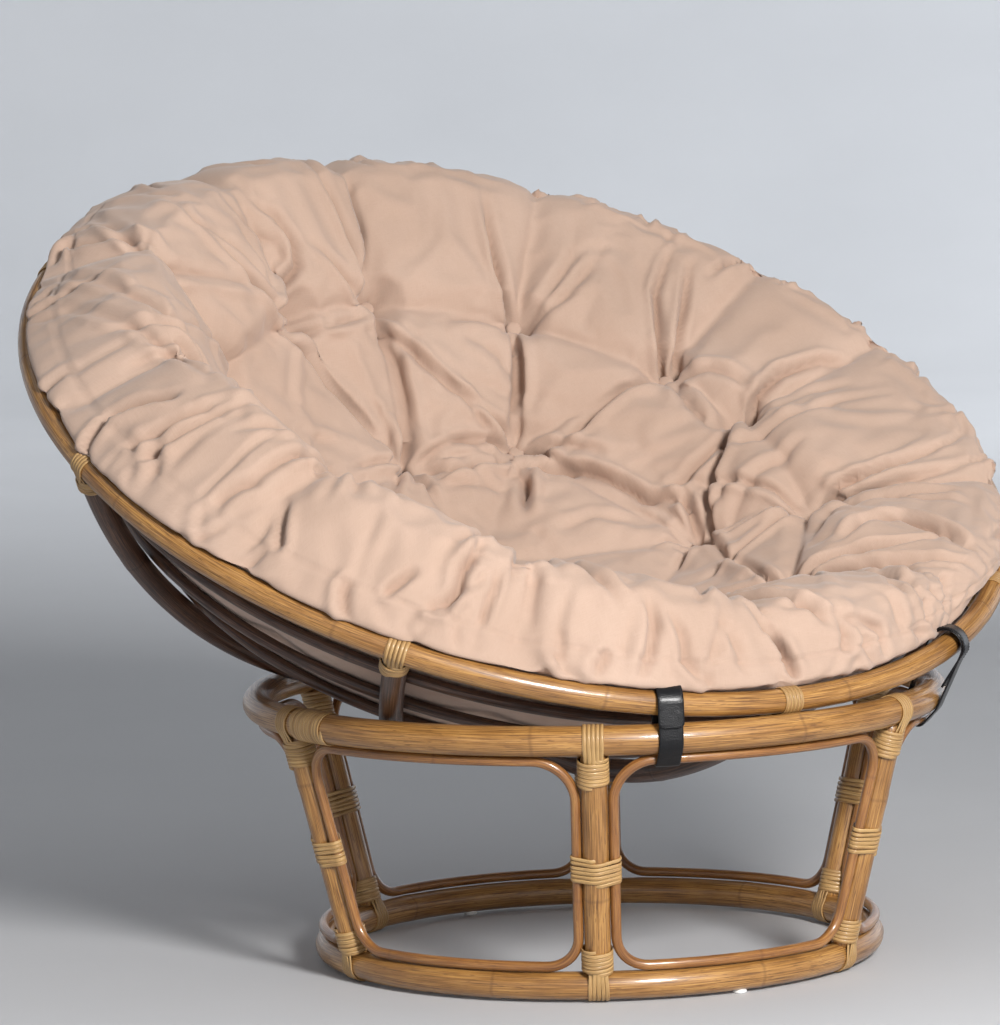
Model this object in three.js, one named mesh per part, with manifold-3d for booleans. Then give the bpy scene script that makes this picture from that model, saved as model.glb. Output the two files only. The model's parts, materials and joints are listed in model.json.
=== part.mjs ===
// A round rattan bowl chair: a tilted bowl of canes that rests in a hoop base, with a tufted pad.
// Millimetres, +Z up, floor at z = 0. The chair faces -Y, where the bowl's rim is lowest.
// Inside the chair's group, the base stands round the Z axis.
import * as THREE from 'three';
import { mergeVertices } from 'three/addons/utils/BufferGeometryUtils.js';
import Module from 'manifold-3d';

const wasm = await Module();
wasm.setup();

const deg = Math.PI / 180;

// Clearances
const GAP = 0.3; // between two pieces that touch
const SLACK = 0.6; // between a strap or a winding and the poles inside it
const STRAND_GAP = 0.8; // between two turns of a winding

// Base: two hoops, six legs and the thin cane loops between them
const UPPER_RING_R = 370;
const UPPER_POLE_R = 16;
const LOWER_RING_R = 298;
const LOWER_POLE_R = 15;
const RING_HEIGHT = 270; // from the lower ring's centre line to the upper one's
const LEG_R = 14;
const LEG_COUNT = 6;
const FIRST_LEG_AZ = -125 * deg;
const LOOP_CANE_R = 5.5;
const LOOP_TOP_CORNER_R = 36;
const LOOP_BOTTOM_CORNER_R = 36;

// Bowl: a rim, eight ribs on one sphere and four thin hoops inside them
const BOWL_TILT = 27.3 * deg;
const RIM_RING_R = 553.5;
const BOWL_DEPTH = 331.3; // from the rim's plane to the bottom of the ribs' sphere
const RIM_POLE_R = 13;
const RIB_R = 13;
const RIB_COUNT = 8;
const HOOP_CANE_R = 6.5;
const HOOP_SHARES = [0.869, 0.751, 0.6245, 0.2345]; // of the rim's angle from the bowl's axis
const RIB_FOOT_LENGTH = 22; // how far each rib runs past the smallest hoop
const RIB_SADDLE_SHARE = 0.6; // of the rim pole's radius, that a rib's top reaches into its saddle

// Windings of split cane
const WRAP_THICK = 1.4; // thickness over the rings, the rim and the ribs
const COLLAR_WRAP_THICK = 2.2; // thickness round a leg
const SADDLE_WIDTH = 22;
const LEG_COLLAR_LENGTH = 29;
const RIB_COLLAR_LENGTH = 12;
const COLLAR_REACH_SHARE = 0.25; // of the ring pole's radius, below its centre, where a collar starts
const STRAND_WIDTH = 4;
const STRAND_THICK = 2;
const MID_TURNS = 5;
const MID_PLACE_SHARE = 0.48; // of the way up a leg

// Glides under the lower ring
const GLIDE_R = 7.5;
const GLIDE_DROP_HEIGHT = 3; // below the lower ring's pole
const GLIDE_SEAT_HEIGHT = 4; // up the pole's side
const GLIDE_WINDOWS = [0, 1, 3, 4]; // the windows between two legs that have one, counted from the first leg

// Straps that tie the rim to the upper ring
const STRAP_WIDTH = 28;
const STRAP_THICK = 2.4;
const STRAP_RIM_ANGLES = [-15 * deg, 27.5 * deg]; // round the rim, from its lowest point

// Pad
const PAD_THICK = 124;
const PAD_CREST_INSET = 85; // from the rim's centre line, inwards
const PAD_CREST_HEIGHT = 77; // over the rim's plane
const PAD_SLUMP_INSET = 42; // how much further in the crest lies on the side where the pad has slumped
const PAD_SLUMP_HEIGHT = 28; // and how much higher
const PAD_SLUMP_AZ = -85 * deg; // round the rim, from its lowest point
const PAD_EDGE_HEIGHT = 27;
const PAD_EDGE_INSET = 14; // inside the rim's centre line
const PAD_SLUMP_EDGE_OFFSET = 14; // how much further out the edge lies where the pad has slumped
const PAD_LIP_INSET = 30; // inside the rim's centre line
const PAD_LIP_HEIGHT = 6;
const PAD_DISH_SHARES = [0, 0.25, 0.5, 0.75, 1]; // of the dished part, where the outline has points
const PAD_DISH_ANGLE_SHARE = 0.68; // of the rim's angle, out to which the top is part of a sphere
const PAD_TOP_ROWS = 19;
const TUFT_DEPTH = 44;
const TUFT_SPREAD_R = 52;
const TUFT_RINGS = [ // each ring's share of the rim's angle, and its tufts' angles round the bowl's axis
  { share: 0, turns: [0] },
  { share: 0.429, turns: [10 * deg, 70 * deg, 140 * deg, 190 * deg, 250 * deg, 310 * deg] },
  {
    share: 0.744,
    turns: [
      0, 32.5 * deg, 65 * deg, 97.5 * deg, 117 * deg, 147 * deg,
      176 * deg, 198 * deg, 230 * deg, 262.5 * deg, 295 * deg, 327.5 * deg,
    ],
  },
];
const PAD_GATHERS = 20;
const PAD_GATHER_DEPTH = 7;

// Facets
const POLE_SIDES = 8;
const CANE_SIDES = 6;
const UPPER_STEPS = 60;
const LOWER_STEPS = 36;
const RIM_STEPS = 56;
const HOOP_STEPS = 40;
const SMALL_HOOP_STEPS = 32;
const RIB_STEPS = 10;
const CORNER_STEPS = 3;
const RUN_STEPS = 4;
const SLEEVE_SIDES = 8;
const STRAP_SIDES = 20;

// Heights and the bowl's centre, from the sizes above
const LOWER_Z = GLIDE_DROP_HEIGHT + LOWER_POLE_R;
const UPPER_Z = LOWER_Z + RING_HEIGHT;
const rimAngle = 2 * Math.atan2(BOWL_DEPTH, RIM_RING_R);
const RIB_SPHERE_R = RIM_RING_R / Math.sin(rimAngle);
const RIM_DROP = RIB_SPHERE_R * Math.cos(rimAngle);
const hoopAngles = HOOP_SHARES.map((share) => share * rimAngle);
const seatR = RIB_SPHERE_R + RIM_POLE_R + GAP + WRAP_THICK + GAP + UPPER_POLE_R;
const BOWL_Z = UPPER_Z + Math.sqrt(seatR ** 2 - UPPER_RING_R ** 2);
const ribFootAngle = hoopAngles[hoopAngles.length - 1] - RIB_FOOT_LENGTH / RIB_SPHERE_R;
const ribTopAngle = rimAngle - (RIM_POLE_R * RIB_SADDLE_SHARE) / RIB_SPHERE_R;
const ribFlatR = RIB_SPHERE_R * Math.cos((ribTopAngle - ribFootAngle) / RIB_STEPS / 2);
const HOOP_SPHERE_R = ribFlatR - RIB_R - GAP - HOOP_CANE_R;
const PAD_SPHERE_R = HOOP_SPHERE_R - HOOP_CANE_R - GAP;

// Materials
const material = (color, roughness) => new THREE.MeshStandardMaterial({ color, roughness, metalness: 0 });
const rattan = material(0x9a6a3a, 0.45);
const darkRattan = material(0x5a3520, 0.5);
const cane = material(0xb98b52, 0.5);
const splitCane = material(0xd8b27a, 0.6);
const plastic = material(0xe8e8e6, 0.4);
const leather = material(0x14110f, 0.4);
const cotton = material(0xdfc3b2, 0.9);

// Booleans
function toSolid(geometry) {
  const bare = geometry.clone();
  bare.deleteAttribute('normal');
  bare.deleteAttribute('uv');
  const merged = mergeVertices(bare);
  const vertProperties = new Float32Array(merged.attributes.position.array);
  const triVerts = new Uint32Array(merged.index.array);
  return new wasm.Manifold(new wasm.Mesh({ numProp: 3, vertProperties, triVerts }));
}

function toGeometry(solid) {
  const mesh = solid.getMesh();
  const geometry = new THREE.BufferGeometry();
  geometry.setAttribute('position', new THREE.BufferAttribute(new Float32Array(mesh.vertProperties), 3));
  geometry.setIndex(Array.from(mesh.triVerts));
  geometry.computeVertexNormals();
  return geometry;
}

// Shapes
function circleShape(radius, sides) {
  const points = [];
  for (let i = 0; i < sides; i++) {
    const a = (i / sides) * 2 * Math.PI;
    points.push(new THREE.Vector2(radius * Math.cos(a), radius * Math.sin(a)));
  }
  return new THREE.Shape(points);
}

// A ring round +Z, with one edge line of its pole facing the angle `facing` in the pole's section
function ring(ringR, poleR, sides, steps, facing, start = 0) {
  const outline = [];
  for (let i = 0; i <= sides; i++) {
    const a = facing + ((i % sides) / sides) * 2 * Math.PI;
    outline.push(new THREE.Vector2(ringR + poleR * Math.cos(a), poleR * Math.sin(a)));
  }
  const geometry = new THREE.LatheGeometry(outline, steps, start + Math.PI / 2);
  geometry.rotateX(Math.PI / 2);
  return geometry;
}

// A pole from one point to another
function pole(from, to, radius, sides) {
  const line = new THREE.LineCurve3(from, to);
  const options = { steps: 1, curveSegments: 1, extrudePath: line, bevelEnabled: false };
  return new THREE.ExtrudeGeometry(circleShape(radius, sides), options);
}

// A skin over sections of equal count, each counterclockwise when it is seen from ahead of it
function loft(sections, closed) {
  const sides = sections[0].length;
  const faces = [];
  const spans = closed ? sections.length : sections.length - 1;
  for (let i = 0; i < spans; i++) {
    const next = (i + 1) % sections.length;
    for (let j = 0; j < sides; j++) {
      const k = (j + 1) % sides;
      faces.push(i * sides + j, i * sides + k, next * sides + j);
      faces.push(next * sides + j, i * sides + k, next * sides + k);
    }
  }
  if (!closed) {
    const last = spans * sides;
    for (let j = 1; j < sides - 1; j++) {
      faces.push(0, j + 1, j, last, last + j, last + j + 1);
    }
  }
  const geometry = new THREE.BufferGeometry().setFromPoints(sections.flat());
  geometry.setIndex(faces);
  geometry.computeVertexNormals();
  return geometry;
}

class BowlArc extends THREE.Curve {
  constructor(radius, azimuth, from, to) {
    super();
    Object.assign(this, { radius, azimuth, from, to });
  }

  getPoint(t, target = new THREE.Vector3()) {
    const a = this.from + (this.to - this.from) * t;
    const out = this.radius * Math.sin(a);
    const down = this.radius * Math.cos(a);
    return target.set(out * Math.sin(this.azimuth), -out * Math.cos(this.azimuth), -down);
  }
}

const chair = new THREE.Group();
const bowl = new THREE.Group();
bowl.position.z = BOWL_Z;
bowl.rotation.x = BOWL_TILT;
bowl.updateMatrixWorld();
chair.add(bowl);

function add(group, name, geometry, look) {
  const mesh = new THREE.Mesh(geometry, look);
  mesh.name = name;
  group.add(mesh);
  return mesh;
}

// Rings of the base
const upperFacing = Math.atan2(BOWL_Z - UPPER_Z, -UPPER_RING_R);
function upperRing(grow) {
  const round = ring(UPPER_RING_R, UPPER_POLE_R + grow, POLE_SIDES, UPPER_STEPS, upperFacing, FIRST_LEG_AZ);
  return round.translate(0, 0, UPPER_Z);
}

function lowerRing(grow) {
  const round = ring(LOWER_RING_R, LOWER_POLE_R + grow, POLE_SIDES, LOWER_STEPS, Math.PI / 2, FIRST_LEG_AZ);
  return round.translate(0, 0, LOWER_Z);
}

add(chair, 'upper_ring', upperRing(0), rattan);
add(chair, 'lower_ring', lowerRing(0), rattan);
const upperCutter = toSolid(upperRing(GAP));
const upperShell = toSolid(upperRing(GAP + WRAP_THICK));
const lowerCutter = toSolid(lowerRing(GAP));
const lowerShell = toSolid(lowerRing(GAP + WRAP_THICK));

function around(radius, azimuth, z) {
  return new THREE.Vector3(radius * Math.cos(azimuth), radius * Math.sin(azimuth), z);
}

const legAzimuth = (k) => FIRST_LEG_AZ + (k / LEG_COUNT) * 2 * Math.PI;
const windowAzimuth = (k) => legAzimuth(k) + Math.PI / LEG_COUNT;
const legTop = (k) => around(UPPER_RING_R, legAzimuth(k), UPPER_Z);
const legFoot = (k) => around(LOWER_RING_R, legAzimuth(k), LOWER_Z);
const legLength = Math.hypot(UPPER_RING_R - LOWER_RING_R, RING_HEIGHT);

// A winding over a ring and round the pole that meets it: `toward` points from the ring along that pole.
// `shell` is the whole ring at the winding's outer radius, of which the winding keeps a short stretch.
function binding(centre, tangent, toward, sizes, shell, ringCutter, poleCutter) {
  const wide = 2 * (sizes.ringPoleR + GAP + WRAP_THICK + sizes.collar);
  const stretch = new THREE.BoxGeometry(SADDLE_WIDTH, wide, wide);
  stretch.applyQuaternion(new THREE.Quaternion().setFromUnitVectors(new THREE.Vector3(1, 0, 0), tangent));
  stretch.translate(centre.x, centre.y, centre.z);
  const saddle = shell.intersect(toSolid(stretch));
  const start = centre.clone().addScaledVector(toward, sizes.ringPoleR * COLLAR_REACH_SHARE);
  const end = centre.clone().addScaledVector(toward, sizes.ringPoleR + GAP + sizes.collar);
  const collar = toSolid(pole(start, end, sizes.poleR + GAP + sizes.thick, SLEEVE_SIDES));
  return toGeometry(saddle.add(collar).subtract(ringCutter).subtract(poleCutter));
}

// Legs, with saddles cut to fit both rings
for (let k = 0; k < LEG_COUNT; k++) {
  const top = legTop(k);
  const foot = legFoot(k);
  const leg = toSolid(pole(top, foot, LEG_R, POLE_SIDES)).subtract(upperCutter).subtract(lowerCutter);
  add(chair, `leg_${k + 1}`, toGeometry(leg), rattan);
  const legCutter = toSolid(pole(top, foot, LEG_R + GAP, POLE_SIDES));
  const tangent = around(1, legAzimuth(k) + Math.PI / 2, 0);
  const down = foot.clone().sub(top).normalize();
  const up = down.clone().negate();
  const shared = { poleR: LEG_R, collar: LEG_COLLAR_LENGTH, thick: COLLAR_WRAP_THICK };
  const topSizes = { ...shared, ringPoleR: UPPER_POLE_R };
  const footSizes = { ...shared, ringPoleR: LOWER_POLE_R };
  const topWound = binding(top, tangent, down, topSizes, upperShell, upperCutter, legCutter);
  add(chair, `top_binding_${k + 1}`, topWound, splitCane);
  const footWound = binding(foot, tangent, up, footSizes, lowerShell, lowerCutter, legCutter);
  add(chair, `foot_binding_${k + 1}`, footWound, splitCane);
}

// Thin cane loops, one in each window between two legs
const coneR = (z) => LOWER_RING_R + ((UPPER_RING_R - LOWER_RING_R) * (z - LOWER_Z)) / RING_HEIGHT;
const upperReach = UPPER_POLE_R + GAP + LOOP_CANE_R;
const lowerReach = LOWER_POLE_R + GAP + LOOP_CANE_R;
const LOOP_TOP_Z = UPPER_Z - upperReach;
const LOOP_BOTTOM_Z = LOWER_Z + lowerReach;
const slantPerRise = legLength / RING_HEIGHT;
const loopHalfWidth = (z) => (coneR(z) * Math.PI) / LEG_COUNT - LEG_R - GAP - LOOP_CANE_R;

// The top run is made of straight steps, which lie this much inside their circle at the middle
const loopRunStep = (2 * (loopHalfWidth(LOOP_TOP_Z) - LOOP_TOP_CORNER_R)) / coneR(LOOP_TOP_Z) / RUN_STEPS;
const loopSag = coneR(LOOP_TOP_Z) * (1 - Math.cos(loopRunStep / 2));

// The loop's centre line, laid flat: straight runs with rounded corners, counterclockwise
function loopOutline() {
  const rise = (LOOP_TOP_Z - LOOP_BOTTOM_Z) * slantPerRise;
  const top = loopHalfWidth(LOOP_TOP_Z);
  const bottom = loopHalfWidth(LOOP_BOTTOM_Z);
  const corners = [
    { at: new THREE.Vector2(-bottom, 0), round: LOOP_BOTTOM_CORNER_R, runSteps: RUN_STEPS },
    { at: new THREE.Vector2(bottom, 0), round: LOOP_BOTTOM_CORNER_R, runSteps: 1 },
    { at: new THREE.Vector2(top, rise), round: LOOP_TOP_CORNER_R, runSteps: RUN_STEPS },
    { at: new THREE.Vector2(-top, rise), round: LOOP_TOP_CORNER_R, runSteps: 1 },
  ];
  const arcs = corners.map(({ at, round, runSteps }, i) => {
    const back = corners[(i + corners.length - 1) % corners.length].at.clone().sub(at).normalize();
    const on = corners[(i + 1) % corners.length].at.clone().sub(at).normalize();
    const half = Math.acos(back.dot(on)) / 2;
    const reach = round / Math.tan(half);
    const centre = at.clone().addScaledVector(back.clone().add(on).normalize(), round / Math.sin(half));
    const from = at.clone().addScaledVector(back, reach).sub(centre).angle();
    const arc = new THREE.EllipseCurve(centre.x, centre.y, round, round, from, from + Math.PI - 2 * half);
    return { arc, runSteps };
  });
  return arcs.flatMap(({ arc, runSteps }, i) => {
    const next = arcs[(i + 1) % arcs.length].arc;
    const run = new THREE.LineCurve(arc.getPoint(1), next.getPoint(0));
    return [...arc.getPoints(CORNER_STEPS), ...run.getPoints(runSteps).slice(1, -1)];
  });
}

function windowLoop(azimuth) {
  const places = loopOutline().map((p) => {
    const z = LOOP_BOTTOM_Z + p.y / slantPerRise;
    return around(coneR(z), azimuth + p.x / coneR(z), z);
  });
  const sections = places.map((at, i) => {
    const before = places[(i + places.length - 1) % places.length];
    const after = places[(i + 1) % places.length];
    const along = after.clone().sub(before).normalize();
    const out = new THREE.Vector3(at.x, at.y, 0).normalize();
    out.addScaledVector(along, -out.dot(along)).normalize();
    const across = along.clone().cross(out);
    return circleShape(LOOP_CANE_R, CANE_SIDES).getPoints().slice(0, CANE_SIDES).map((p) =>
      at.clone().addScaledVector(out, p.x).addScaledVector(across, p.y));
  });
  return loft(sections, true);
}

for (let k = 0; k < LEG_COUNT; k++) {
  add(chair, `window_loop_${k + 1}`, windowLoop(windowAzimuth(k)), cane);
}

// Windings round each leg and the loops beside it: one strand of flat cane, wound as a helix
const loopBeside = LEG_R + GAP + LOOP_CANE_R;
const midPitch = STRAND_WIDTH + STRAND_GAP;
const strandOut = SLACK + STRAND_THICK / 2;
const endTurn = Math.acos((LEG_R - LOOP_CANE_R) / loopBeside);

// Points round the leg and its two loops, as if a cord were drawn tight round all three
function tightPoints() {
  const middleHalf = Math.PI / 2 - endTurn;
  const sideR = (LOOP_CANE_R + strandOut) / Math.cos(endTurn / 2);
  const middleR = (LEG_R + strandOut) / Math.cos(middleHalf / 2);
  const points = [];
  for (const side of [0, Math.PI]) {
    for (const a of [side - endTurn, side, side + endTurn]) {
      const x = loopBeside * Math.cos(side) + sideR * Math.cos(a);
      points.push(new THREE.Vector2(x, sideR * Math.sin(a)));
    }
    for (const a of [side + endTurn, side + Math.PI / 2, side + Math.PI - endTurn]) {
      points.push(new THREE.Vector2(middleR * Math.cos(a), middleR * Math.sin(a)));
    }
  }
  return points;
}

function strandSections(outline, turns, pitch, width, thick) {
  const sections = [];
  const count = outline.length;
  for (let i = 0; i <= turns * count; i++) {
    const p = outline[i % count];
    const along = outline[(i + 1) % count].clone().sub(outline[(i + count - 1) % count]).normalize();
    const out = new THREE.Vector2(along.y, -along.x);
    const z = (i / count) * pitch;
    sections.push([[1, 1], [1, -1], [-1, -1], [-1, 1]].map(([side, rise]) => {
      const q = p.clone().addScaledVector(out, (side * thick) / 2);
      return new THREE.Vector3(q.x, q.y, z + (rise * width) / 2);
    }));
  }
  return sections;
}

// The least distance between corner points of a strand that lie half a turn or more apart along it
function leastSelfGap(sections, sectionsPerTurn) {
  let least = Infinity;
  sections.forEach((section, i) => {
    for (const later of sections.slice(i + sectionsPerTurn / 2)) {
      for (const corner of section) {
        least = Math.min(least, ...later.map((other) => corner.distanceTo(other)));
      }
    }
  });
  return least;
}

const strandOutline = tightPoints();
const strand = strandSections(strandOutline, MID_TURNS, midPitch, STRAND_WIDTH, STRAND_THICK);
const strandGap = leastSelfGap(strand, strandOutline.length);
console.log(`least gap of a mid winding to itself: ${strandGap.toFixed(2)} mm`);

for (let k = 0; k < LEG_COUNT; k++) {
  const wound = loft(strand, false);
  wound.translate(0, 0, (-MID_TURNS * midPitch) / 2);
  const up = legTop(k).sub(legFoot(k)).normalize();
  const tangent = around(1, legAzimuth(k) + Math.PI / 2, 0);
  const inward = up.clone().cross(tangent);
  wound.applyMatrix4(new THREE.Matrix4().makeBasis(tangent, inward, up));
  const at = legFoot(k).lerp(legTop(k), MID_PLACE_SHARE);
  add(chair, `mid_winding_${k + 1}`, wound.translate(at.x, at.y, at.z), splitCane);
}

// Glides
const glideHeight = GLIDE_DROP_HEIGHT + GLIDE_SEAT_HEIGHT;
GLIDE_WINDOWS.forEach((leg, i) => {
  const at = around(LOWER_RING_R, windowAzimuth(leg), 0);
  const block = new THREE.CylinderGeometry(GLIDE_R, GLIDE_R, glideHeight, SLEEVE_SIDES);
  block.rotateX(Math.PI / 2);
  block.translate(at.x, at.y, glideHeight / 2);
  add(chair, `glide_${i + 1}`, toGeometry(toSolid(block).subtract(lowerCutter)), plastic);
});

// Bowl: its group's origin is the centre of the ribs' sphere, with -Z towards the bowl's bottom
const rimFacing = Math.atan2(-RIM_DROP, RIM_RING_R);
function rim(grow) {
  const round = ring(RIM_RING_R, RIM_POLE_R + grow, POLE_SIDES, RIM_STEPS, rimFacing);
  return round.translate(0, 0, -RIM_DROP);
}

add(bowl, 'rim', rim(0), rattan);
const rimCutter = toSolid(rim(GAP));
const rimShell = toSolid(rim(GAP + WRAP_THICK));

function rib(azimuth, radius) {
  const arc = new BowlArc(RIB_SPHERE_R, azimuth, ribFootAngle, ribTopAngle);
  const options = { steps: RIB_STEPS, curveSegments: 1, extrudePath: arc, bevelEnabled: false };
  return new THREE.ExtrudeGeometry(circleShape(radius, POLE_SIDES), options);
}

for (let k = 0; k < RIB_COUNT; k++) {
  const azimuth = (k / RIB_COUNT) * 2 * Math.PI;
  const ribCane = toSolid(rib(azimuth, RIB_R)).subtract(rimCutter);
  add(bowl, `rib_${k + 1}`, toGeometry(ribCane), darkRattan);
  const ribCutter = toSolid(rib(azimuth, RIB_R + GAP));
  const arc = new BowlArc(RIB_SPHERE_R, azimuth, rimAngle, ribFootAngle);
  const centre = arc.getPoint(0);
  const toward = arc.getTangent(0);
  const tangent = new THREE.Vector3(Math.cos(azimuth), Math.sin(azimuth), 0);
  const sizes = { ringPoleR: RIM_POLE_R, poleR: RIB_R, collar: RIB_COLLAR_LENGTH, thick: WRAP_THICK };
  const wound = binding(centre, tangent, toward, sizes, rimShell, rimCutter, ribCutter);
  add(bowl, `rib_binding_${k + 1}`, wound, splitCane);
}

hoopAngles.forEach((angle, i) => {
  const steps = i < hoopAngles.length - 1 ? HOOP_STEPS : SMALL_HOOP_STEPS;
  const hoop = ring(HOOP_SPHERE_R * Math.sin(angle), HOOP_CANE_R, CANE_SIDES, steps, angle - Math.PI / 2);
  hoop.translate(0, 0, -HOOP_SPHERE_R * Math.cos(angle));
  add(bowl, `hoop_${i + 1}`, hoop, darkRattan);
});

// Straps: each is drawn tight round the rim, the upper ring and the thin loop's top run
STRAP_RIM_ANGLES.forEach((angle, i) => {
  const onRim = new THREE.Vector3(RIM_RING_R * Math.sin(angle), -RIM_RING_R * Math.cos(angle), -RIM_DROP);
  const middle = bowl.localToWorld(onRim);
  const azimuth = Math.atan2(middle.y, middle.x);
  const out = around(1, azimuth, 0);
  const along = around(1, azimuth + Math.PI / 2, 0);
  const up = new THREE.Vector3(0, 0, 1);
  const loopTop = around(coneR(LOOP_TOP_Z) - loopSag / 2, azimuth, LOOP_TOP_Z);
  const rimTangent = around(1, angle, 0).transformDirection(bowl.matrixWorld);
  const slant = Math.sqrt(1 - rimTangent.dot(along) ** 2);
  const rimR = RIM_POLE_R + SLACK + (slant * STRAP_WIDTH) / 2;
  const held = [
    { at: middle, radius: rimR },
    { at: around(UPPER_RING_R, azimuth, UPPER_Z), radius: UPPER_POLE_R + SLACK },
    { at: loopTop, radius: LOOP_CANE_R + SLACK + loopSag / 2 },
  ].map(({ at, radius }) => ({ x: at.dot(out), y: at.z, radius }));
  const band = new THREE.Shape(drawnTight(held, STRAP_THICK));
  band.holes.push(new THREE.Path(drawnTight(held, 0)));
  const strap = new THREE.ExtrudeGeometry(band, { depth: STRAP_WIDTH, steps: 1, bevelEnabled: false });
  strap.translate(0, 0, -STRAP_WIDTH / 2);
  strap.applyMatrix4(new THREE.Matrix4().makeBasis(out, up, along.clone().negate()));
  strap.applyMatrix4(new THREE.Matrix4().makeTranslation(middle.clone().projectOnVector(along)));
  add(chair, `strap_${i + 1}`, strap, leather);
});

// The outline of a band drawn tight round circles and `out` away from them: flat sides that touch them
function drawnTight(circles, out) {
  const step = (2 * Math.PI) / STRAP_SIDES;
  const touch = (circle, a) => circle.x * Math.cos(a) + circle.y * Math.sin(a) + circle.radius;
  const reach = (a) => out + Math.max(...circles.map((circle) => touch(circle, a)));
  const points = [];
  for (let i = 0; i < STRAP_SIDES; i++) {
    const a = i * step;
    const on = (reach(a + step) - reach(a) * Math.cos(step)) / Math.sin(step);
    points.push(new THREE.Vector2(
      reach(a) * Math.cos(a) - on * Math.sin(a),
      reach(a) * Math.sin(a) + on * Math.cos(a),
    ));
  }
  return points;
}

// Pad: its top is dished and tufted, its crest rises over the rim and its underside lies on the hoops
const dishR = PAD_SPHERE_R - PAD_THICK;

function padOutline(azimuth) {
  const slump = Math.cos(azimuth - PAD_SLUMP_AZ);
  const top = PAD_DISH_SHARES.map((share) => {
    const a = share * PAD_DISH_ANGLE_SHARE * rimAngle;
    return new THREE.Vector2(dishR * Math.sin(a), -dishR * Math.cos(a));
  });
  const crestInset = PAD_CREST_INSET + PAD_SLUMP_INSET * slump;
  const crestRise = PAD_CREST_HEIGHT + PAD_SLUMP_HEIGHT * slump;
  const edgeR = RIM_RING_R - PAD_EDGE_INSET + PAD_SLUMP_EDGE_OFFSET * slump;
  top.push(new THREE.Vector2(RIM_RING_R - crestInset, crestRise - RIM_DROP));
  top.push(new THREE.Vector2(edgeR, PAD_EDGE_HEIGHT - RIM_DROP));
  top.push(new THREE.Vector2(RIM_RING_R - PAD_LIP_INSET, PAD_LIP_HEIGHT - RIM_DROP));
  const points = new THREE.SplineCurve(top).getSpacedPoints(PAD_TOP_ROWS);
  for (const a of hoopAngles) {
    points.push(new THREE.Vector2(PAD_SPHERE_R * Math.sin(a), -PAD_SPHERE_R * Math.cos(a)));
  }
  points.push(new THREE.Vector2(0, -PAD_SPHERE_R));
  return points;
}

const tufts = TUFT_RINGS.flatMap(({ share, turns }) => {
  const out = Math.sin(share * rimAngle);
  const down = Math.cos(share * rimAngle);
  return turns.map((a) => new THREE.Vector3(out * Math.sin(a), -out * Math.cos(a), -down));
});

function padPoint({ x, y }, azimuth) {
  const point = new THREE.Vector3(x * Math.sin(azimuth), -x * Math.cos(azimuth), y);
  const away = point.clone().normalize();
  const inDish = THREE.MathUtils.clamp((PAD_SPHERE_R - point.length()) / PAD_THICK, 0, 1);
  const sinks = tufts.map((tuft) => {
    const spread = (point.length() * away.distanceTo(tuft)) / TUFT_SPREAD_R;
    return TUFT_DEPTH * Math.exp(-spread * spread);
  });
  point.addScaledVector(away, inDish * Math.max(...sinks));
  const overRim = THREE.MathUtils.clamp((point.z + RIM_DROP) / PAD_CREST_HEIGHT, 0, 1);
  point.z -= (PAD_GATHER_DEPTH * overRim ** 2 * (1 - Math.cos(PAD_GATHERS * azimuth))) / 2;
  return point;
}

// A closed skin: columns of points from one end point to the other, joined side by side
function skin(columns) {
  const rows = columns[0].length - 2;
  const points = [columns[0][0], ...columns.flatMap((column) => column.slice(1, -1)), columns[0][rows + 1]];
  const at = (column, row) => 1 + (column % columns.length) * rows + row;
  const faces = [];
  for (let c = 0; c < columns.length; c++) {
    faces.push(0, at(c, 0), at(c + 1, 0));
    for (let r = 0; r < rows - 1; r++) {
      faces.push(at(c, r), at(c, r + 1), at(c + 1, r));
      faces.push(at(c + 1, r), at(c, r + 1), at(c + 1, r + 1));
    }
    faces.push(at(c, rows - 1), points.length - 1, at(c + 1, rows - 1));
  }
  const geometry = new THREE.BufferGeometry().setFromPoints(points);
  geometry.setIndex(faces);
  geometry.computeVertexNormals();
  return geometry;
}

const padColumns = [];
for (let i = 0; i < HOOP_STEPS; i++) {
  const azimuth = (i / HOOP_STEPS) * 2 * Math.PI;
  padColumns.push(padOutline(azimuth).map((corner) => padPoint(corner, azimuth)));
}
add(bowl, 'cushion', skin(padColumns), cotton);

// The origin is on the floor, under the middle of the whole chair
const bounds = new THREE.Box3().setFromObject(chair, true);
const middle = bounds.getCenter(new THREE.Vector3());
chair.position.set(-middle.x, -middle.y, -bounds.min.z);

export default chair;
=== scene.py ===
# %% [markdown]
# # A round rattan bowl chair
#
# This notebook dresses a bowl chair that is already built as plain solids. The solids give the sizes and
# the motion: a base of two hoops and six legs, a bowl of bent canes that can tilt, and a loose round pad.
# Here every cane becomes round and varnished, every joint gets its winding of split cane, and the pad
# becomes stuffed cotton, tufted with covered buttons.

# %% Load the solids
import json
import math
import random

import bpy
import numpy as np
from mathutils import Matrix, Vector
from mathutils.bvhtree import BVHTree


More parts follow.
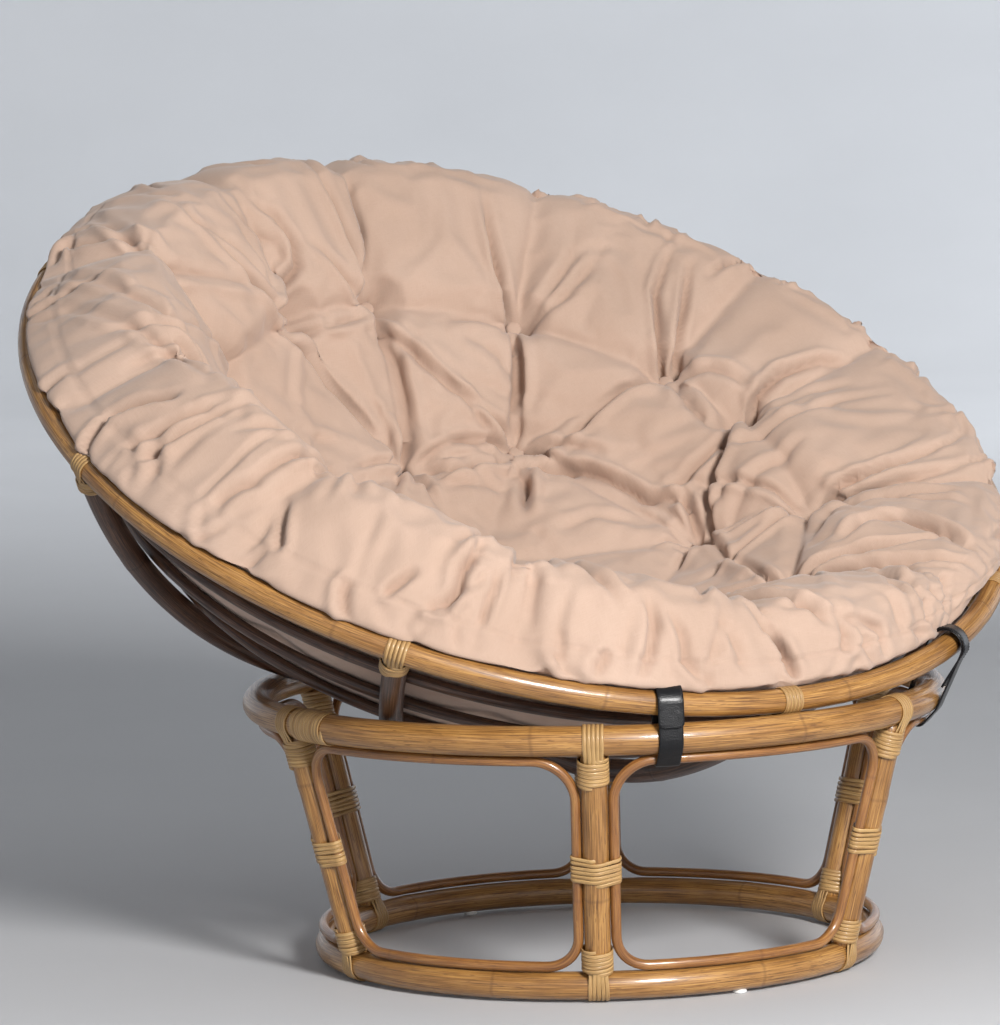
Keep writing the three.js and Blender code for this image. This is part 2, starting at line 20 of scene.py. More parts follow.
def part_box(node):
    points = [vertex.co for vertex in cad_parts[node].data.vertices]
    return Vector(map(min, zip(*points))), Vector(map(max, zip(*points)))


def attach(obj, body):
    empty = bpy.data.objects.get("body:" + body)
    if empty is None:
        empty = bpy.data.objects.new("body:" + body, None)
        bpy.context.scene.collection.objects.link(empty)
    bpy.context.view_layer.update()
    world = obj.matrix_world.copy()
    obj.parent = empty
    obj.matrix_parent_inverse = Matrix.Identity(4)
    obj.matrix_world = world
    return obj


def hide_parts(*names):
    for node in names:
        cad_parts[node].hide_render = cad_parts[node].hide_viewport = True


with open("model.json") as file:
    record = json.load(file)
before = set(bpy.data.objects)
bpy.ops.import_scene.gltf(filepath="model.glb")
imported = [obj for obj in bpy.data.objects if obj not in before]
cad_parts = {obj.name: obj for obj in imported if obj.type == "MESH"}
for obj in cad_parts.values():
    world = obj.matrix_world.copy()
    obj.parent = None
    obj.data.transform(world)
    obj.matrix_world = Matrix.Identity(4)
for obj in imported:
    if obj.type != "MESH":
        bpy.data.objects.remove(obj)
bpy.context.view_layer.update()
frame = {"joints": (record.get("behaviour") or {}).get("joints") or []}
tilt_joint = next(j for j in frame["joints"] if j["name"] == "bowl_tilt")

# %% [markdown]
# ## The frame of reference
#
# Two places carry everything. The base stands round an upright axis. The bowl's canes lie on a sphere whose
# centre is the hinge of its tilt, so the bowl has a frame of its own: its origin is that centre, its Z runs
# out of the bowl's mouth, and -Y points to the low side of the rim. `in_bowl` takes points from there to the
# room.

# %% The two axes
MM = 0.001
BOWL_CENTRE = Vector(tilt_joint["pos_m"])
BOWL_TILT = math.radians(tilt_joint["range_deg"][1])
BASE_AXIS = Vector((BOWL_CENTRE.x, BOWL_CENTRE.y, 0))
BOWL_FRAME = Matrix.Translation(BOWL_CENTRE) @ Matrix.Rotation(BOWL_TILT, 4, "X")
BOWL_TURN = np.array(BOWL_FRAME.to_3x3())


def in_bowl(points):
    return np.asarray(points, float) @ BOWL_TURN.T + np.array(BOWL_CENTRE)


def on_base(radius, azimuth, z):
    """A point round the base's upright axis."""
    return np.array([radius * math.cos(azimuth), radius * math.sin(azimuth) + BASE_AXIS.y, z])


# %% [markdown]
# ## The camera
#
# The photograph was taken with a long lens from far in front of the chair, a little to its left and above
# it. The place, the angles and the focal length come from fitting the chair's rings and canes to their
# outlines. A long side of 1025 pixels on a 36 mm sensor turns the focal length into a lens.

# %% Camera
FOCAL_PX = 5933.6
IMAGE_WIDTH_PX, IMAGE_HEIGHT_PX = 1000, 1025
SENSOR_MM, VIEW_DEPTH = 36.0, 60
CAMERA_PLACE = BASE_AXIS + Vector((-3.673, -5.315, 1.164))
CAMERA_YAW, CAMERA_PITCH, CAMERA_ROLL = math.radians(33.77), math.radians(-5.96), -0.023


def aim_camera():
    level = math.cos(CAMERA_PITCH)
    ahead = Vector((math.sin(CAMERA_YAW) * level, math.cos(CAMERA_YAW) * level, math.sin(CAMERA_PITCH)))
    right = Vector((math.cos(CAMERA_YAW), -math.sin(CAMERA_YAW), 0))
    above = right.cross(ahead)
    c, s = math.cos(CAMERA_ROLL), math.sin(CAMERA_ROLL)
    axes = Matrix((c * right + s * above, c * above - s * right, -ahead)).transposed()
    data = bpy.data.cameras.new("camera")
    data.sensor_width = SENSOR_MM
    data.lens = FOCAL_PX * SENSOR_MM / IMAGE_HEIGHT_PX
    data.clip_end = VIEW_DEPTH
    camera = bpy.data.objects.new("camera", data)
    camera.matrix_world = Matrix.Translation(CAMERA_PLACE) @ axes.to_4x4()
    bpy.context.scene.collection.objects.link(camera)
    bpy.context.scene.camera = camera
    return camera


camera = aim_camera()
print("lens", round(camera.data.lens, 1), "mm")

# %% [markdown]
# ## Building node trees
#
# Shaders and Geometry Nodes are both trees of nodes joined by links. `place` adds one node, sets its options
# and fills its inputs: a value goes into the socket, and another node's output is linked to it.

# %% A helper for node trees
def place(tree, kind, inputs=None, **options):
    node = tree.nodes.new(kind)
    for key, value in options.items():
        setattr(node, key, value)
    for key, value in (inputs or {}).items():
        if isinstance(value, bpy.types.NodeSocket):
            tree.links.new(value, node.inputs[key])
        else:
            node.inputs[key].default_value = value
    return node


def sum_of(tree, kind, a, b=None, c=None):
    given = {i: v for i, v in enumerate((a, b, c)) if v is not None}
    return place(tree, "ShaderNodeMath", given, operation=kind).outputs[0]


def mixed(tree, factor, a, b, blend="MIX"):
    node = place(tree, "ShaderNodeMix", data_type="RGBA", blend_type=blend)
    for index, value in ((0, factor), (6, a), (7, b)):
        if isinstance(value, bpy.types.NodeSocket):
            tree.links.new(value, node.inputs[index])
        else:
            node.inputs[index].default_value = value
    return node.outputs[2]


def ramp(tree, factor, stops):
    node = place(tree, "ShaderNodeValToRGB", {"Fac": factor})
    elements = node.color_ramp.elements
    for _ in range(len(stops) - len(elements)):
        elements.new(0.5)
    for element, (position, color) in zip(elements, stops):
        element.position = position
        element.color = (*color, 1) if len(color) == 3 else color
    return node.outputs["Color"]


def new_group(name, inputs, outputs, kind="ShaderNodeTree"):
    tree = bpy.data.node_groups.new(name, kind)
    for socket, sort, value in inputs:
        made = tree.interface.new_socket(socket, in_out="INPUT", socket_type=sort)
        if value is not None:
            made.default_value = value
    for socket, sort in outputs:
        tree.interface.new_socket(socket, in_out="OUTPUT", socket_type=sort)
    return tree, tree.nodes.new("NodeGroupInput").outputs, tree.nodes.new("NodeGroupOutput").inputs


def use_group(tree, group, **values):
    node = place(tree, "ShaderNodeGroup", node_tree=group)
    for key, value in values.items():
        node.inputs[key].default_value = value
    return node.outputs


# %% [markdown]
# ## The grain of cane
#
# Rattan is a bundle of fibres, so its streaks run along the pole whichever way the pole is bent. Object
# coordinates would cut straight through a bent pole. Instead each swept piece carries an attribute named
# `grain`: how far along the pole a point is, and where it lies in the pole's section. A noise that is
# stretched along the first of these gives fibres, and every so far along the pole a growth ring crosses it.
# All the canes use the effect, so it is a shader group.

# %% Shader group: grain of cane
RING_SPACING = 0.29


def cane_grain_group():
    tree, given, out = new_group("cane_grain", [
        ("Fibre Width", "NodeSocketFloat", 0.0011),
        ("Fibre Length", "NodeSocketFloat", 0.05),
        ("Blotch Size", "NodeSocketFloat", 0.03),
        ("Ring Spacing", "NodeSocketFloat", RING_SPACING),
    ], [("Fibre", "NodeSocketFloat"), ("Blotch", "NodeSocketFloat"), ("Ring", "NodeSocketFloat"),
        ("Fleck", "NodeSocketFloat"), ("Height", "NodeSocketFloat")])
    grain = place(tree, "ShaderNodeAttribute", attribute_name="grain").outputs["Vector"]
    parts = place(tree, "ShaderNodeSeparateXYZ", {0: grain}).outputs

    def stretched(along, across):
        x = sum_of(tree, "DIVIDE", parts[0], along)
        y = sum_of(tree, "DIVIDE", parts[1], across)
        z = sum_of(tree, "DIVIDE", parts[2], across)
        return place(tree, "ShaderNodeCombineXYZ", {0: x, 1: y, 2: z}).outputs[0]

    fine = place(tree, "ShaderNodeTexNoise", {
        "Vector": stretched(given["Fibre Length"], given["Fibre Width"]),
        "Scale": 1.0, "Detail": 4.0, "Roughness": 0.6}).outputs["Fac"]
    broad = place(tree, "ShaderNodeTexNoise", {
        "Vector": stretched(sum_of(tree, "MULTIPLY", given["Blotch Size"], 3.0), given["Blotch Size"]),
        "Scale": 1.0, "Detail": 2.0}).outputs["Fac"]
    short = place(tree, "ShaderNodeTexNoise", {
        "Vector": stretched(sum_of(tree, "MULTIPLY", given["Fibre Length"], 0.28),
                            sum_of(tree, "MULTIPLY", given["Fibre Width"], 1.1)),
        "Scale": 1.0, "Detail": 1.5}).outputs["Fac"]
    flecked = sum_of(tree, "MULTIPLY_ADD", broad, 0.16, short)
    fleck = place(tree, "ShaderNodeMapRange", {"Value": flecked, "From Min": 0.7, "From Max": 0.78}).outputs[0]
    tree.links.new(fleck, out["Fleck"])
    wobble = sum_of(tree, "MULTIPLY", sum_of(tree, "SUBTRACT", broad, 0.5), 0.012)
    turn = sum_of(tree, "DIVIDE", sum_of(tree, "ADD", parts[0], wobble), given["Ring Spacing"])
    away = sum_of(tree, "ABSOLUTE", sum_of(tree, "SUBTRACT", sum_of(tree, "FRACT", turn), 0.5))
    ring = place(tree, "ShaderNodeMapRange", {
        "Value": sum_of(tree, "MULTIPLY", away, given["Ring Spacing"]),
        "From Min": 0.0, "From Max": 0.0035, "To Min": 1.0, "To Max": 0.0}, interpolation_type="SMOOTHSTEP")
    tree.links.new(fine, out["Fibre"])
    tree.links.new(broad, out["Blotch"])
    tree.links.new(ring.outputs[0], out["Ring"])
    dip = sum_of(tree, "SUBTRACT", fine, sum_of(tree, "MULTIPLY", ring.outputs[0], 0.8))
    tree.links.new(dip, out["Height"])
    return tree


cane_grain = cane_grain_group()

# %% [markdown]
# ## Four finishes of cane
#
# The rings, legs and rim are thick poles under a clear varnish: honey brown with darker fibres and a sharp
# gloss. The ribs and the hoops under the pad are stained dark. The thin loops are redder and smoother. The
# windings are split cane: flat, pale, dry strips. All four are the same recipe with other values, so one
# function makes them.

# %% Materials: cane
def shader(name):
    material = bpy.data.materials.new(name)
    material.use_nodes = True
    tree = material.node_tree
    return material, tree, tree.nodes["Principled BSDF"]


def cane_material(name, dark, middle, light, ring_tone, gloss, coat, relief, fibre_width=0.0011):
    material, tree, skin = shader(name)
    grain = use_group(tree, cane_grain, **{"Fibre Width": fibre_width})
    tone = ramp(tree, grain["Fibre"], [(0.3, dark), (0.48, middle), (0.68, light)])
    stain = ramp(tree, grain["Blotch"], [(0.32, (0.62, 0.55, 0.5)), (0.6, (1, 1, 1))])
    tone = mixed(tree, 0.8, tone, stain, "MULTIPLY")
    tone = mixed(tree, sum_of(tree, "MULTIPLY", grain["Ring"], 0.4), tone, (*ring_tone, 1))
    tone = mixed(tree, sum_of(tree, "MULTIPLY", grain["Fleck"], 0.7), tone, (*ring_tone, 1))
    tree.links.new(tone, skin.inputs["Base Color"])
    rough = place(tree, "ShaderNodeMapRange", {
        "Value": grain["Fibre"], "From Min": 0.3, "From Max": 0.7,
        "To Min": gloss + 0.1, "To Max": gloss - 0.04}).outputs[0]
    tree.links.new(rough, skin.inputs["Roughness"])
    bump = place(tree, "ShaderNodeBump", {"Height": grain["Height"], "Strength": relief, "Distance": 0.0004})
    tree.links.new(bump.outputs[0], skin.inputs["Normal"])
    skin.inputs["Coat Weight"].default_value = coat
    skin.inputs["Coat Roughness"].default_value = 0.13
    return material


varnished_pole = cane_material(
    "varnished_pole", (0.11, 0.043, 0.01), (0.33, 0.157, 0.04), (0.53, 0.29, 0.09),
    (0.12, 0.05, 0.015), gloss=0.36, coat=0.55, relief=0.5)
stained_cane = cane_material(
    "stained_cane", (0.022, 0.009, 0.005), (0.065, 0.027, 0.014), (0.16, 0.075, 0.038),
    (0.015, 0.007, 0.004), gloss=0.42, coat=0.35, relief=0.5)
thin_cane = cane_material(
    "thin_cane", (0.11, 0.038, 0.01), (0.28, 0.115, 0.029), (0.42, 0.21, 0.062),
    (0.14, 0.055, 0.02), gloss=0.34, coat=0.6, relief=0.35, fibre_width=0.0009)
split_cane = cane_material(
    "split_cane", (0.21, 0.105, 0.036), (0.46, 0.275, 0.1), (0.66, 0.455, 0.21),
    (0.35, 0.19, 0.08), gloss=0.46, coat=0.25, relief=0.7, fibre_width=0.0005)

# %% [markdown]
# ## Sweeping a pole
#
# A pole is a circle carried along a path. Geometry Nodes do it with Curve to Mesh, and the tree also records
# `grain` on the way: the distance along the path is captured before the sweep, and the place in the section
# is captured on the circle. The pole swells a little at each growth ring, and its ends are rounded over.
# A swept mesh is made real and kept as a plain mesh, because a piece is finished before it rides on a body.

# %% Geometry Nodes: pole
POLE_SIDES = 24


def geometry_tree(name, inputs):
    sockets = [("Geometry", "NodeSocketGeometry", None)] + inputs
    return new_group(name, sockets, [("Geometry", "NodeSocketGeometry")], "GeometryNodeTree")


def capture(tree, geometry, kind, name, value):
    node = place(tree, "GeometryNodeCaptureAttribute", {"Geometry": geometry})
    node.capture_items.new(kind, name)
    tree.links.new(value, node.inputs[1])
    return node.outputs[0], node.outputs[1]


def finished(tree, mesh, material, grain, out):
    stored = place(tree, "GeometryNodeStoreNamedAttribute", {
        "Geometry": mesh, "Name": "grain", "Value": grain}, data_type="FLOAT_VECTOR", domain="POINT")
    smooth = place(tree, "GeometryNodeSetShadeSmooth", {"Geometry": stored.outputs[0]})
    real = place(tree, "GeometryNodeRealizeInstances", {"Geometry": smooth.outputs[0]})
    painted = place(tree, "GeometryNodeSetMaterial", {"Geometry": real.outputs[0], "Material": material})
    tree.links.new(painted.outputs[0], out["Geometry"])


def pole_tree():
    tree, given, out = geometry_tree("pole", [
        ("Radius", "NodeSocketFloat", 0.013), ("Swell", "NodeSocketFloat", 0.05),
        ("Start", "NodeSocketFloat", 0.0), ("End Round", "NodeSocketFloat", 0.003),
        ("Material", "NodeSocketMaterial", None)])
    line = place(tree, "GeometryNodeMeshToCurve", {"Mesh": given["Geometry"]}).outputs[0]
    spot = place(tree, "GeometryNodeSplineParameter").outputs
    whole = place(tree, "GeometryNodeSplineLength").outputs["Length"]
    far = sum_of(tree, "ADD", spot["Length"], given["Start"])
    line, along = capture(tree, line, "FLOAT", "along", far)
    turn = sum_of(tree, "FRACT", sum_of(tree, "DIVIDE", far, RING_SPACING))
    away = sum_of(tree, "MULTIPLY", sum_of(tree, "ABSOLUTE", sum_of(tree, "SUBTRACT", turn, 0.5)), RING_SPACING)
    bulge = place(tree, "ShaderNodeMapRange", {
        "Value": away, "From Min": 0.0, "From Max": 0.014, "To Min": 1.0, "To Max": 0.0},
        interpolation_type="SMOOTHERSTEP").outputs[0]
    swell = sum_of(tree, "MULTIPLY_ADD", bulge, given["Swell"], 1.0)
    end = sum_of(tree, "MINIMUM", spot["Length"], sum_of(tree, "SUBTRACT", whole, spot["Length"]))
    share = sum_of(tree, "MINIMUM", sum_of(tree, "DIVIDE", end, given["End Round"]), 1.0)
    inset = sum_of(tree, "MULTIPLY", sum_of(tree, "POWER", sum_of(tree, "SUBTRACT", 1.0, share), 2.0), 0.25)
    radius = sum_of(tree, "MULTIPLY", swell, sum_of(tree, "SUBTRACT", 1.0, inset))
    line = place(tree, "GeometryNodeSetCurveRadius", {"Curve": line, "Radius": radius}).outputs[0]
    circle = place(tree, "GeometryNodeCurvePrimitiveCircle", {
        "Resolution": POLE_SIDES, "Radius": given["Radius"]}).outputs[0]
    position = place(tree, "GeometryNodeInputPosition").outputs[0]
    circle, section = capture(tree, circle, "VECTOR", "section", position)
    swept = place(tree, "GeometryNodeCurveToMesh", {
        "Curve": line, "Profile Curve": circle, "Scale": radius, "Fill Caps": True}).outputs[0]
    parts = place(tree, "ShaderNodeSeparateXYZ", {0: section}).outputs
    grain = place(tree, "ShaderNodeCombineXYZ", {0: along, 1: parts[0], 2: parts[1]}).outputs[0]
    finished(tree, swept, given["Material"], grain, out)
    return tree


pole_nodes = pole_tree()

# %% [markdown]
# A path goes into the tree as a mesh of points and edges. Where a strand is flat, each point also says which
# way is out. `grown` runs a tree on such a path and keeps the result as a plain mesh, and `settle` puts a
# piece on its body and takes the plain solid's place.

# %% Paths, and the mesh that a tree makes of them
def mesh_object(name, points, edges, faces, smooth=False):
    mesh = bpy.data.meshes.new(name)
    mesh.from_pydata(points, edges, faces)
    mesh.update()
    for polygon in mesh.polygons:
        polygon.use_smooth = smooth
    made = bpy.data.objects.new(name, mesh)
    bpy.context.scene.collection.objects.link(made)
    return made


def path_object(name, paths, outs=None):
    """Lines of points as one mesh of edges, with the outward direction at each point where it matters."""
    edges, start = [], 0
    for path in paths:
        edges += [(start + i, start + i + 1) for i in range(len(path) - 1)]
        start += len(path)
    made = mesh_object(name, np.concatenate(paths).tolist(), edges, [])
    if outs is not None:
        attribute = made.data.attributes.new("out", "FLOAT_VECTOR", "POINT")
        attribute.data.foreach_set("vector", np.concatenate(outs).astype(np.float32).ravel())
    return made


def grown(made, tree, values):
    """What a tree makes of an object, kept as its plain mesh."""
    modifier = made.modifiers.new("nodes", "NODES")
    modifier.node_group = tree
    for item in tree.interface.items_tree:
        if item.item_type == "SOCKET" and item.in_out == "INPUT" and item.name in values:
            modifier[item.identifier] = values[item.name]
    evaluated = made.evaluated_get(bpy.context.evaluated_depsgraph_get())
    mesh = bpy.data.meshes.new_from_object(evaluated)
    made.modifiers.clear()
    made.data = mesh
    return made


def settle(piece, body, slot, *nodes):
    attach(piece, body)
    if nodes:
        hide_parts(*nodes)
    return piece


GRAIN_START, GRAIN_STEP = 0.11, 0.37
made_poles = []


def pole(name, path, radius, material, body, slot, swell=0.04):
    """One pole along a path. Each starts further along the grain, so that no two look alike."""
    made = path_object(name + "_cane", [path])
    start = GRAIN_START + GRAIN_STEP * len(made_poles)
    grown(made, pole_nodes, {"Radius": radius, "Swell": swell, "Start": start, "Material": material})
    made_poles.append(made)
    return settle(made, body, slot, name)


# %% [markdown]
# ## The base
#
# Both rings are bent from one length of pole each. Its two ends meet under a winding, so each ring's path is
# open and starts at a leg. The legs lean outwards and end against the rings, where their windings hide the
# cut.

# %% Rings and legs of the base
UPPER_RING_R, UPPER_POLE_R = 370 * MM, 16 * MM
LOWER_RING_R, LOWER_POLE_R = 298 * MM, 15 * MM
LEG_R, LEG_COUNT, LEG_INSET_SHARE = 14 * MM, 6, 0.8
FIRST_LEG = math.radians(-125)
LOWER_Z = (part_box("lower_ring")[0].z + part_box("lower_ring")[1].z) / 2
RING_RISE = 270 * MM
UPPER_Z = LOWER_Z + RING_RISE
UPPER_SPLICE_LEG, LOWER_SPLICE_LEG = 5, 3
STEP = 5 * MM


def leg_azimuth(k):
    return FIRST_LEG + 2 * math.pi * k / LEG_COUNT


def hoop_path(radius, z, start, place_point=on_base, step=STEP):
    count = int(2 * math.pi * radius / step)
    return np.array([place_point(radius, start + 2 * math.pi * i / count, z) for i in range(count + 1)])


def straight(a, b, step=STEP):
    count = max(2, int(np.linalg.norm(b - a) / step))
    return np.linspace(a, b, count)


pole("upper_ring", hoop_path(UPPER_RING_R, UPPER_Z, leg_azimuth(UPPER_SPLICE_LEG)),
     UPPER_POLE_R, varnished_pole, "base", "pole_rattan", swell=0.02)
pole("lower_ring", hoop_path(LOWER_RING_R, LOWER_Z, leg_azimuth(LOWER_SPLICE_LEG)),
     LOWER_POLE_R, varnished_pole, "base", "pole_rattan", swell=0.02)
for k in range(LEG_COUNT):
    top = on_base(UPPER_RING_R, leg_azimuth(k), UPPER_Z)
    foot = on_base(LOWER_RING_R, leg_azimuth(k), LOWER_Z)
    down = (foot - top) / np.linalg.norm(foot - top)
    start, end = top + down * UPPER_POLE_R * LEG_INSET_SHARE, foot - down * LOWER_POLE_R * LEG_INSET_SHARE
    leg_path = straight(start, end)
    pole(f"leg_{k + 1}", leg_path, LEG_R, varnished_pole, "base", "pole_rattan")
print(len(made_poles), "poles in the base")

# %% [markdown]
# ## The loops in the windows
#
# Each window between two legs holds a loop of thin cane, bent round four corners. The loop lies on the same
# cone as the legs, so its outline is drawn flat, as on a sheet, and then rolled onto the cone. The ends of
# the cane meet beside a leg, under the winding there.

# %% Window loops
LOOP_CANE_R = 5.5 * MM
LOOP_CORNER_R = 40 * MM
TOUCH = 0.3 * MM
LOOP_TOP_Z = UPPER_Z - UPPER_POLE_R - TOUCH - LOOP_CANE_R
LOOP_BOTTOM_Z = LOWER_Z + LOWER_POLE_R + TOUCH + LOOP_CANE_R


def cone_r(z):
    return LOWER_RING_R + (UPPER_RING_R - LOWER_RING_R) * (z - LOWER_Z) / (UPPER_Z - LOWER_Z)


def loop_half_width(z):
    return cone_r(z) * math.pi / LEG_COUNT - LEG_R - TOUCH - LOOP_CANE_R


def rounded_outline(corners, radius, step=STEP):
    """Points round a closed outline with rounded corners, from the middle of its last side."""
    corners = [np.array(c, float) for c in corners]
    start = (corners[-1] + corners[0]) / 2
    points = [start]
    for before, at, after in zip([corners[-1]] + corners[:-1], corners, corners[1:] + [corners[0]]):
        back = (before - at) / np.linalg.norm(before - at)
        on = (after - at) / np.linalg.norm(after - at)
        half = math.acos(back @ on) / 2
        reach = radius / math.tan(half)
        centre = at + (back + on) / np.linalg.norm(back + on) * radius / math.sin(half)
        first, last = at + back * reach - centre, at + on * reach - centre
        points += list(straight(points[-1], centre + first, step)[1:])
        a0, a1 = math.atan2(first[1], first[0]), math.atan2(last[1], last[0])
        sweep = (a1 - a0 + math.pi) % (2 * math.pi) - math.pi
        count = max(4, int(abs(sweep) * radius / step))
        for i in range(1, count + 1):
            a = a0 + sweep * i / count
            points.append(centre + radius * np.array([math.cos(a), math.sin(a)]))
    points += list(straight(points[-1], start, step)[1:])
    return np.array(points)


def loop_path(azimuth):
    bottom, top = loop_half_width(LOOP_BOTTOM_Z), loop_half_width(LOOP_TOP_Z)
    slant = math.hypot(UPPER_RING_R - LOWER_RING_R, UPPER_Z - LOWER_Z) / (UPPER_Z - LOWER_Z)
    rise = (LOOP_TOP_Z - LOOP_BOTTOM_Z) * slant
    flat = rounded_outline([(-bottom, 0), (bottom, 0), (top, rise), (-top, rise)], LOOP_CORNER_R)
    rolled = []
    for x, y in flat:
        z = LOOP_BOTTOM_Z + y / slant
        rolled.append(on_base(cone_r(z), azimuth + x / cone_r(z), z))
    return np.array(rolled)


for k in range(LEG_COUNT):
    window = leg_azimuth(k) + math.pi / LEG_COUNT
    pole(f"window_loop_{k + 1}", loop_path(window), LOOP_CANE_R, thin_cane, "base", "cane", swell=0.02)

# %% [markdown]
# ## The bowl
#
# The rim is a ring of pole, and eight ribs run down from it on one sphere, towards the bowl's bottom. Four
# thin hoops lie inside the ribs and carry the pad.

# %% Rim, ribs and hoops
RIB_SPHERE_R = 628 * MM
RIM_RING_R, RIM_POLE_R = 553.5 * MM, 13 * MM
RIB_R, RIB_COUNT = 13 * MM, 8
HOOP_CANE_R = 6.5 * MM
RIM_ANGLE = math.asin(RIM_RING_R / RIB_SPHERE_R)
RIM_DROP = RIB_SPHERE_R * math.cos(RIM_ANGLE)
HOOP_SHARES = [0.869, 0.751, 0.6245, 0.2345]
HOOP_GAP = 1.3 * MM
HOOP_SPHERE_R = RIB_SPHERE_R - RIB_R - HOOP_CANE_R - HOOP_GAP
RIB_FOOT_PAST_HOOP, RIB_INSET_SHARE = 22 * MM, 0.75


def on_sphere(radius, angle, azimuth):
    """A point of the bowl at an angle from its axis, and round it from the rim's lowest point."""
    out = radius * math.sin(angle)
    return np.array([out * math.sin(azimuth), -out * math.cos(azimuth), -radius * math.cos(angle)])


def bowl_hoop(radius, z, start):
    def spot(r, azimuth, height):
        return np.array([r * math.sin(azimuth), -r * math.cos(azimuth), height])
    return in_bowl(hoop_path(radius, z, start, place_point=spot))


pole("rim", bowl_hoop(RIM_RING_R, -RIM_DROP, math.pi), RIM_POLE_R, varnished_pole, "bowl", "pole_rattan",
     swell=0.02)
foot_angle = HOOP_SHARES[-1] * RIM_ANGLE - RIB_FOOT_PAST_HOOP / RIB_SPHERE_R
top_angle = RIM_ANGLE - RIB_INSET_SHARE * RIM_POLE_R / RIB_SPHERE_R
for k in range(RIB_COUNT):
    around = 2 * math.pi * k / RIB_COUNT
    angles = np.linspace(foot_angle, top_angle, 90)
    rib_path = in_bowl([on_sphere(RIB_SPHERE_R, a, around) for a in angles])
    pole(f"rib_{k + 1}", rib_path, RIB_R, stained_cane, "bowl", "dark_rattan", swell=0.03)
for i, share in enumerate(HOOP_SHARES):
    angle = share * RIM_ANGLE
    hoop = bowl_hoop(HOOP_SPHERE_R * math.sin(angle), -HOOP_SPHERE_R * math.cos(angle), math.pi)
    pole(f"hoop_{i + 1}", hoop, HOOP_CANE_R, stained_cane, "bowl", "dark_rattan", swell=0.03)
print(len(made_poles), "poles in all")

# %% [markdown]
# ## Sweeping a strand of split cane
#
# A winding is one long strip, rounded outside and flat inside, laid turn by turn. The tree is close to the
# pole's, but the section is oval, and the strip keeps its flat side down. For that each point of the path
# says which way is out, and Set Curve Normal takes its normals from there.

# %% Geometry Nodes: strand
def strand_tree():
    tree, given, out = geometry_tree("strand", [
        ("Width", "NodeSocketFloat", 0.0043), ("Thick", "NodeSocketFloat", 0.0018),
        ("Material", "NodeSocketMaterial", None)])
    line = place(tree, "GeometryNodeMeshToCurve", {"Mesh": given["Geometry"]}).outputs[0]
    spot = place(tree, "GeometryNodeSplineParameter").outputs
    line, along = capture(tree, line, "FLOAT", "along", spot["Length"])
    up = place(tree, "GeometryNodeInputNamedAttribute", {"Name": "out"}, data_type="FLOAT_VECTOR").outputs[0]
    line = place(tree, "GeometryNodeSetCurveNormal", {"Curve": line, "Normal": up}, mode="FREE").outputs[0]
    circle = place(tree, "GeometryNodeCurvePrimitiveCircle", {"Resolution": 12, "Radius": 0.5}).outputs[0]
    size = place(tree, "ShaderNodeCombineXYZ", {0: given["Thick"], 1: given["Width"], 2: 1.0}).outputs[0]
    oval = place(tree, "GeometryNodeTransform", {"Geometry": circle, "Scale": size}).outputs[0]
    position = place(tree, "GeometryNodeInputPosition").outputs[0]
    oval, section = capture(tree, oval, "VECTOR", "section", position)
    swept = place(tree, "GeometryNodeCurveToMesh", {
        "Curve": line, "Profile Curve": oval, "Fill Caps": True}).outputs[0]
    parts = place(tree, "ShaderNodeSeparateXYZ", {0: section}).outputs
    grain = place(tree, "ShaderNodeCombineXYZ", {0: along, 1: parts[0], 2: parts[1]}).outputs[0]
    finished(tree, swept, given["Material"], grain, out)
    return tree


strand_nodes = strand_tree()

# %% [markdown]
# ## Drawing a band tight round poles
#
# Every winding and both straps are bands drawn tight round circles: the sections of the poles that they
# hold. In each direction the band touches the circle that reaches furthest that way. That gives the outline
# of a winding round one leg, or round a leg with a loop's cane on either side, and of a strap round the rim
# and the ring.

# %% Bands, turns and saddles
STRAND_WIDTH, STRAND_THICK = 4.4 * MM, 1.8 * MM
WAVER_SHARE, TUCK_POINTS = 0.16, 4
SADDLE_SPREAD, SADDLE_NARROWING, NARROW_FROM = 0.8, 0.16, 4 * MM


def drawn_round(circles, grow, angles):
    """Points of a band round circles (x, y, radius), `grow` off them, and the outward directions there."""
    out = np.stack([np.cos(angles), np.sin(angles)], axis=1)
    circles = np.array(circles, float)
    best = np.argmax(out @ circles[:, :2].T + circles[:, 2], axis=1)
    return circles[best, :2] + (circles[best, 2] + grow)[:, None] * out, out


def run_along(points):
    """The distance along a line at each of its points."""
    return np.concatenate([[0], np.cumsum(np.linalg.norm(np.diff(points, axis=0), axis=1))])


def evenly(points, count):
    """A closed outline as `count` points, evenly spaced along it, with outward directions."""
    closed = np.vstack([points, points[:1]])
    run = run_along(closed)
    spots = np.linspace(0, run[-1], count, endpoint=False)
    even = np.stack([np.interp(spots, run, closed[:, i]) for i in range(2)], axis=1)
    ahead = np.roll(even, -1, axis=0) - np.roll(even, 1, axis=0)
    out = np.stack([ahead[:, 1], -ahead[:, 0]], axis=1)
    return even, out / np.linalg.norm(out, axis=1)[:, None]


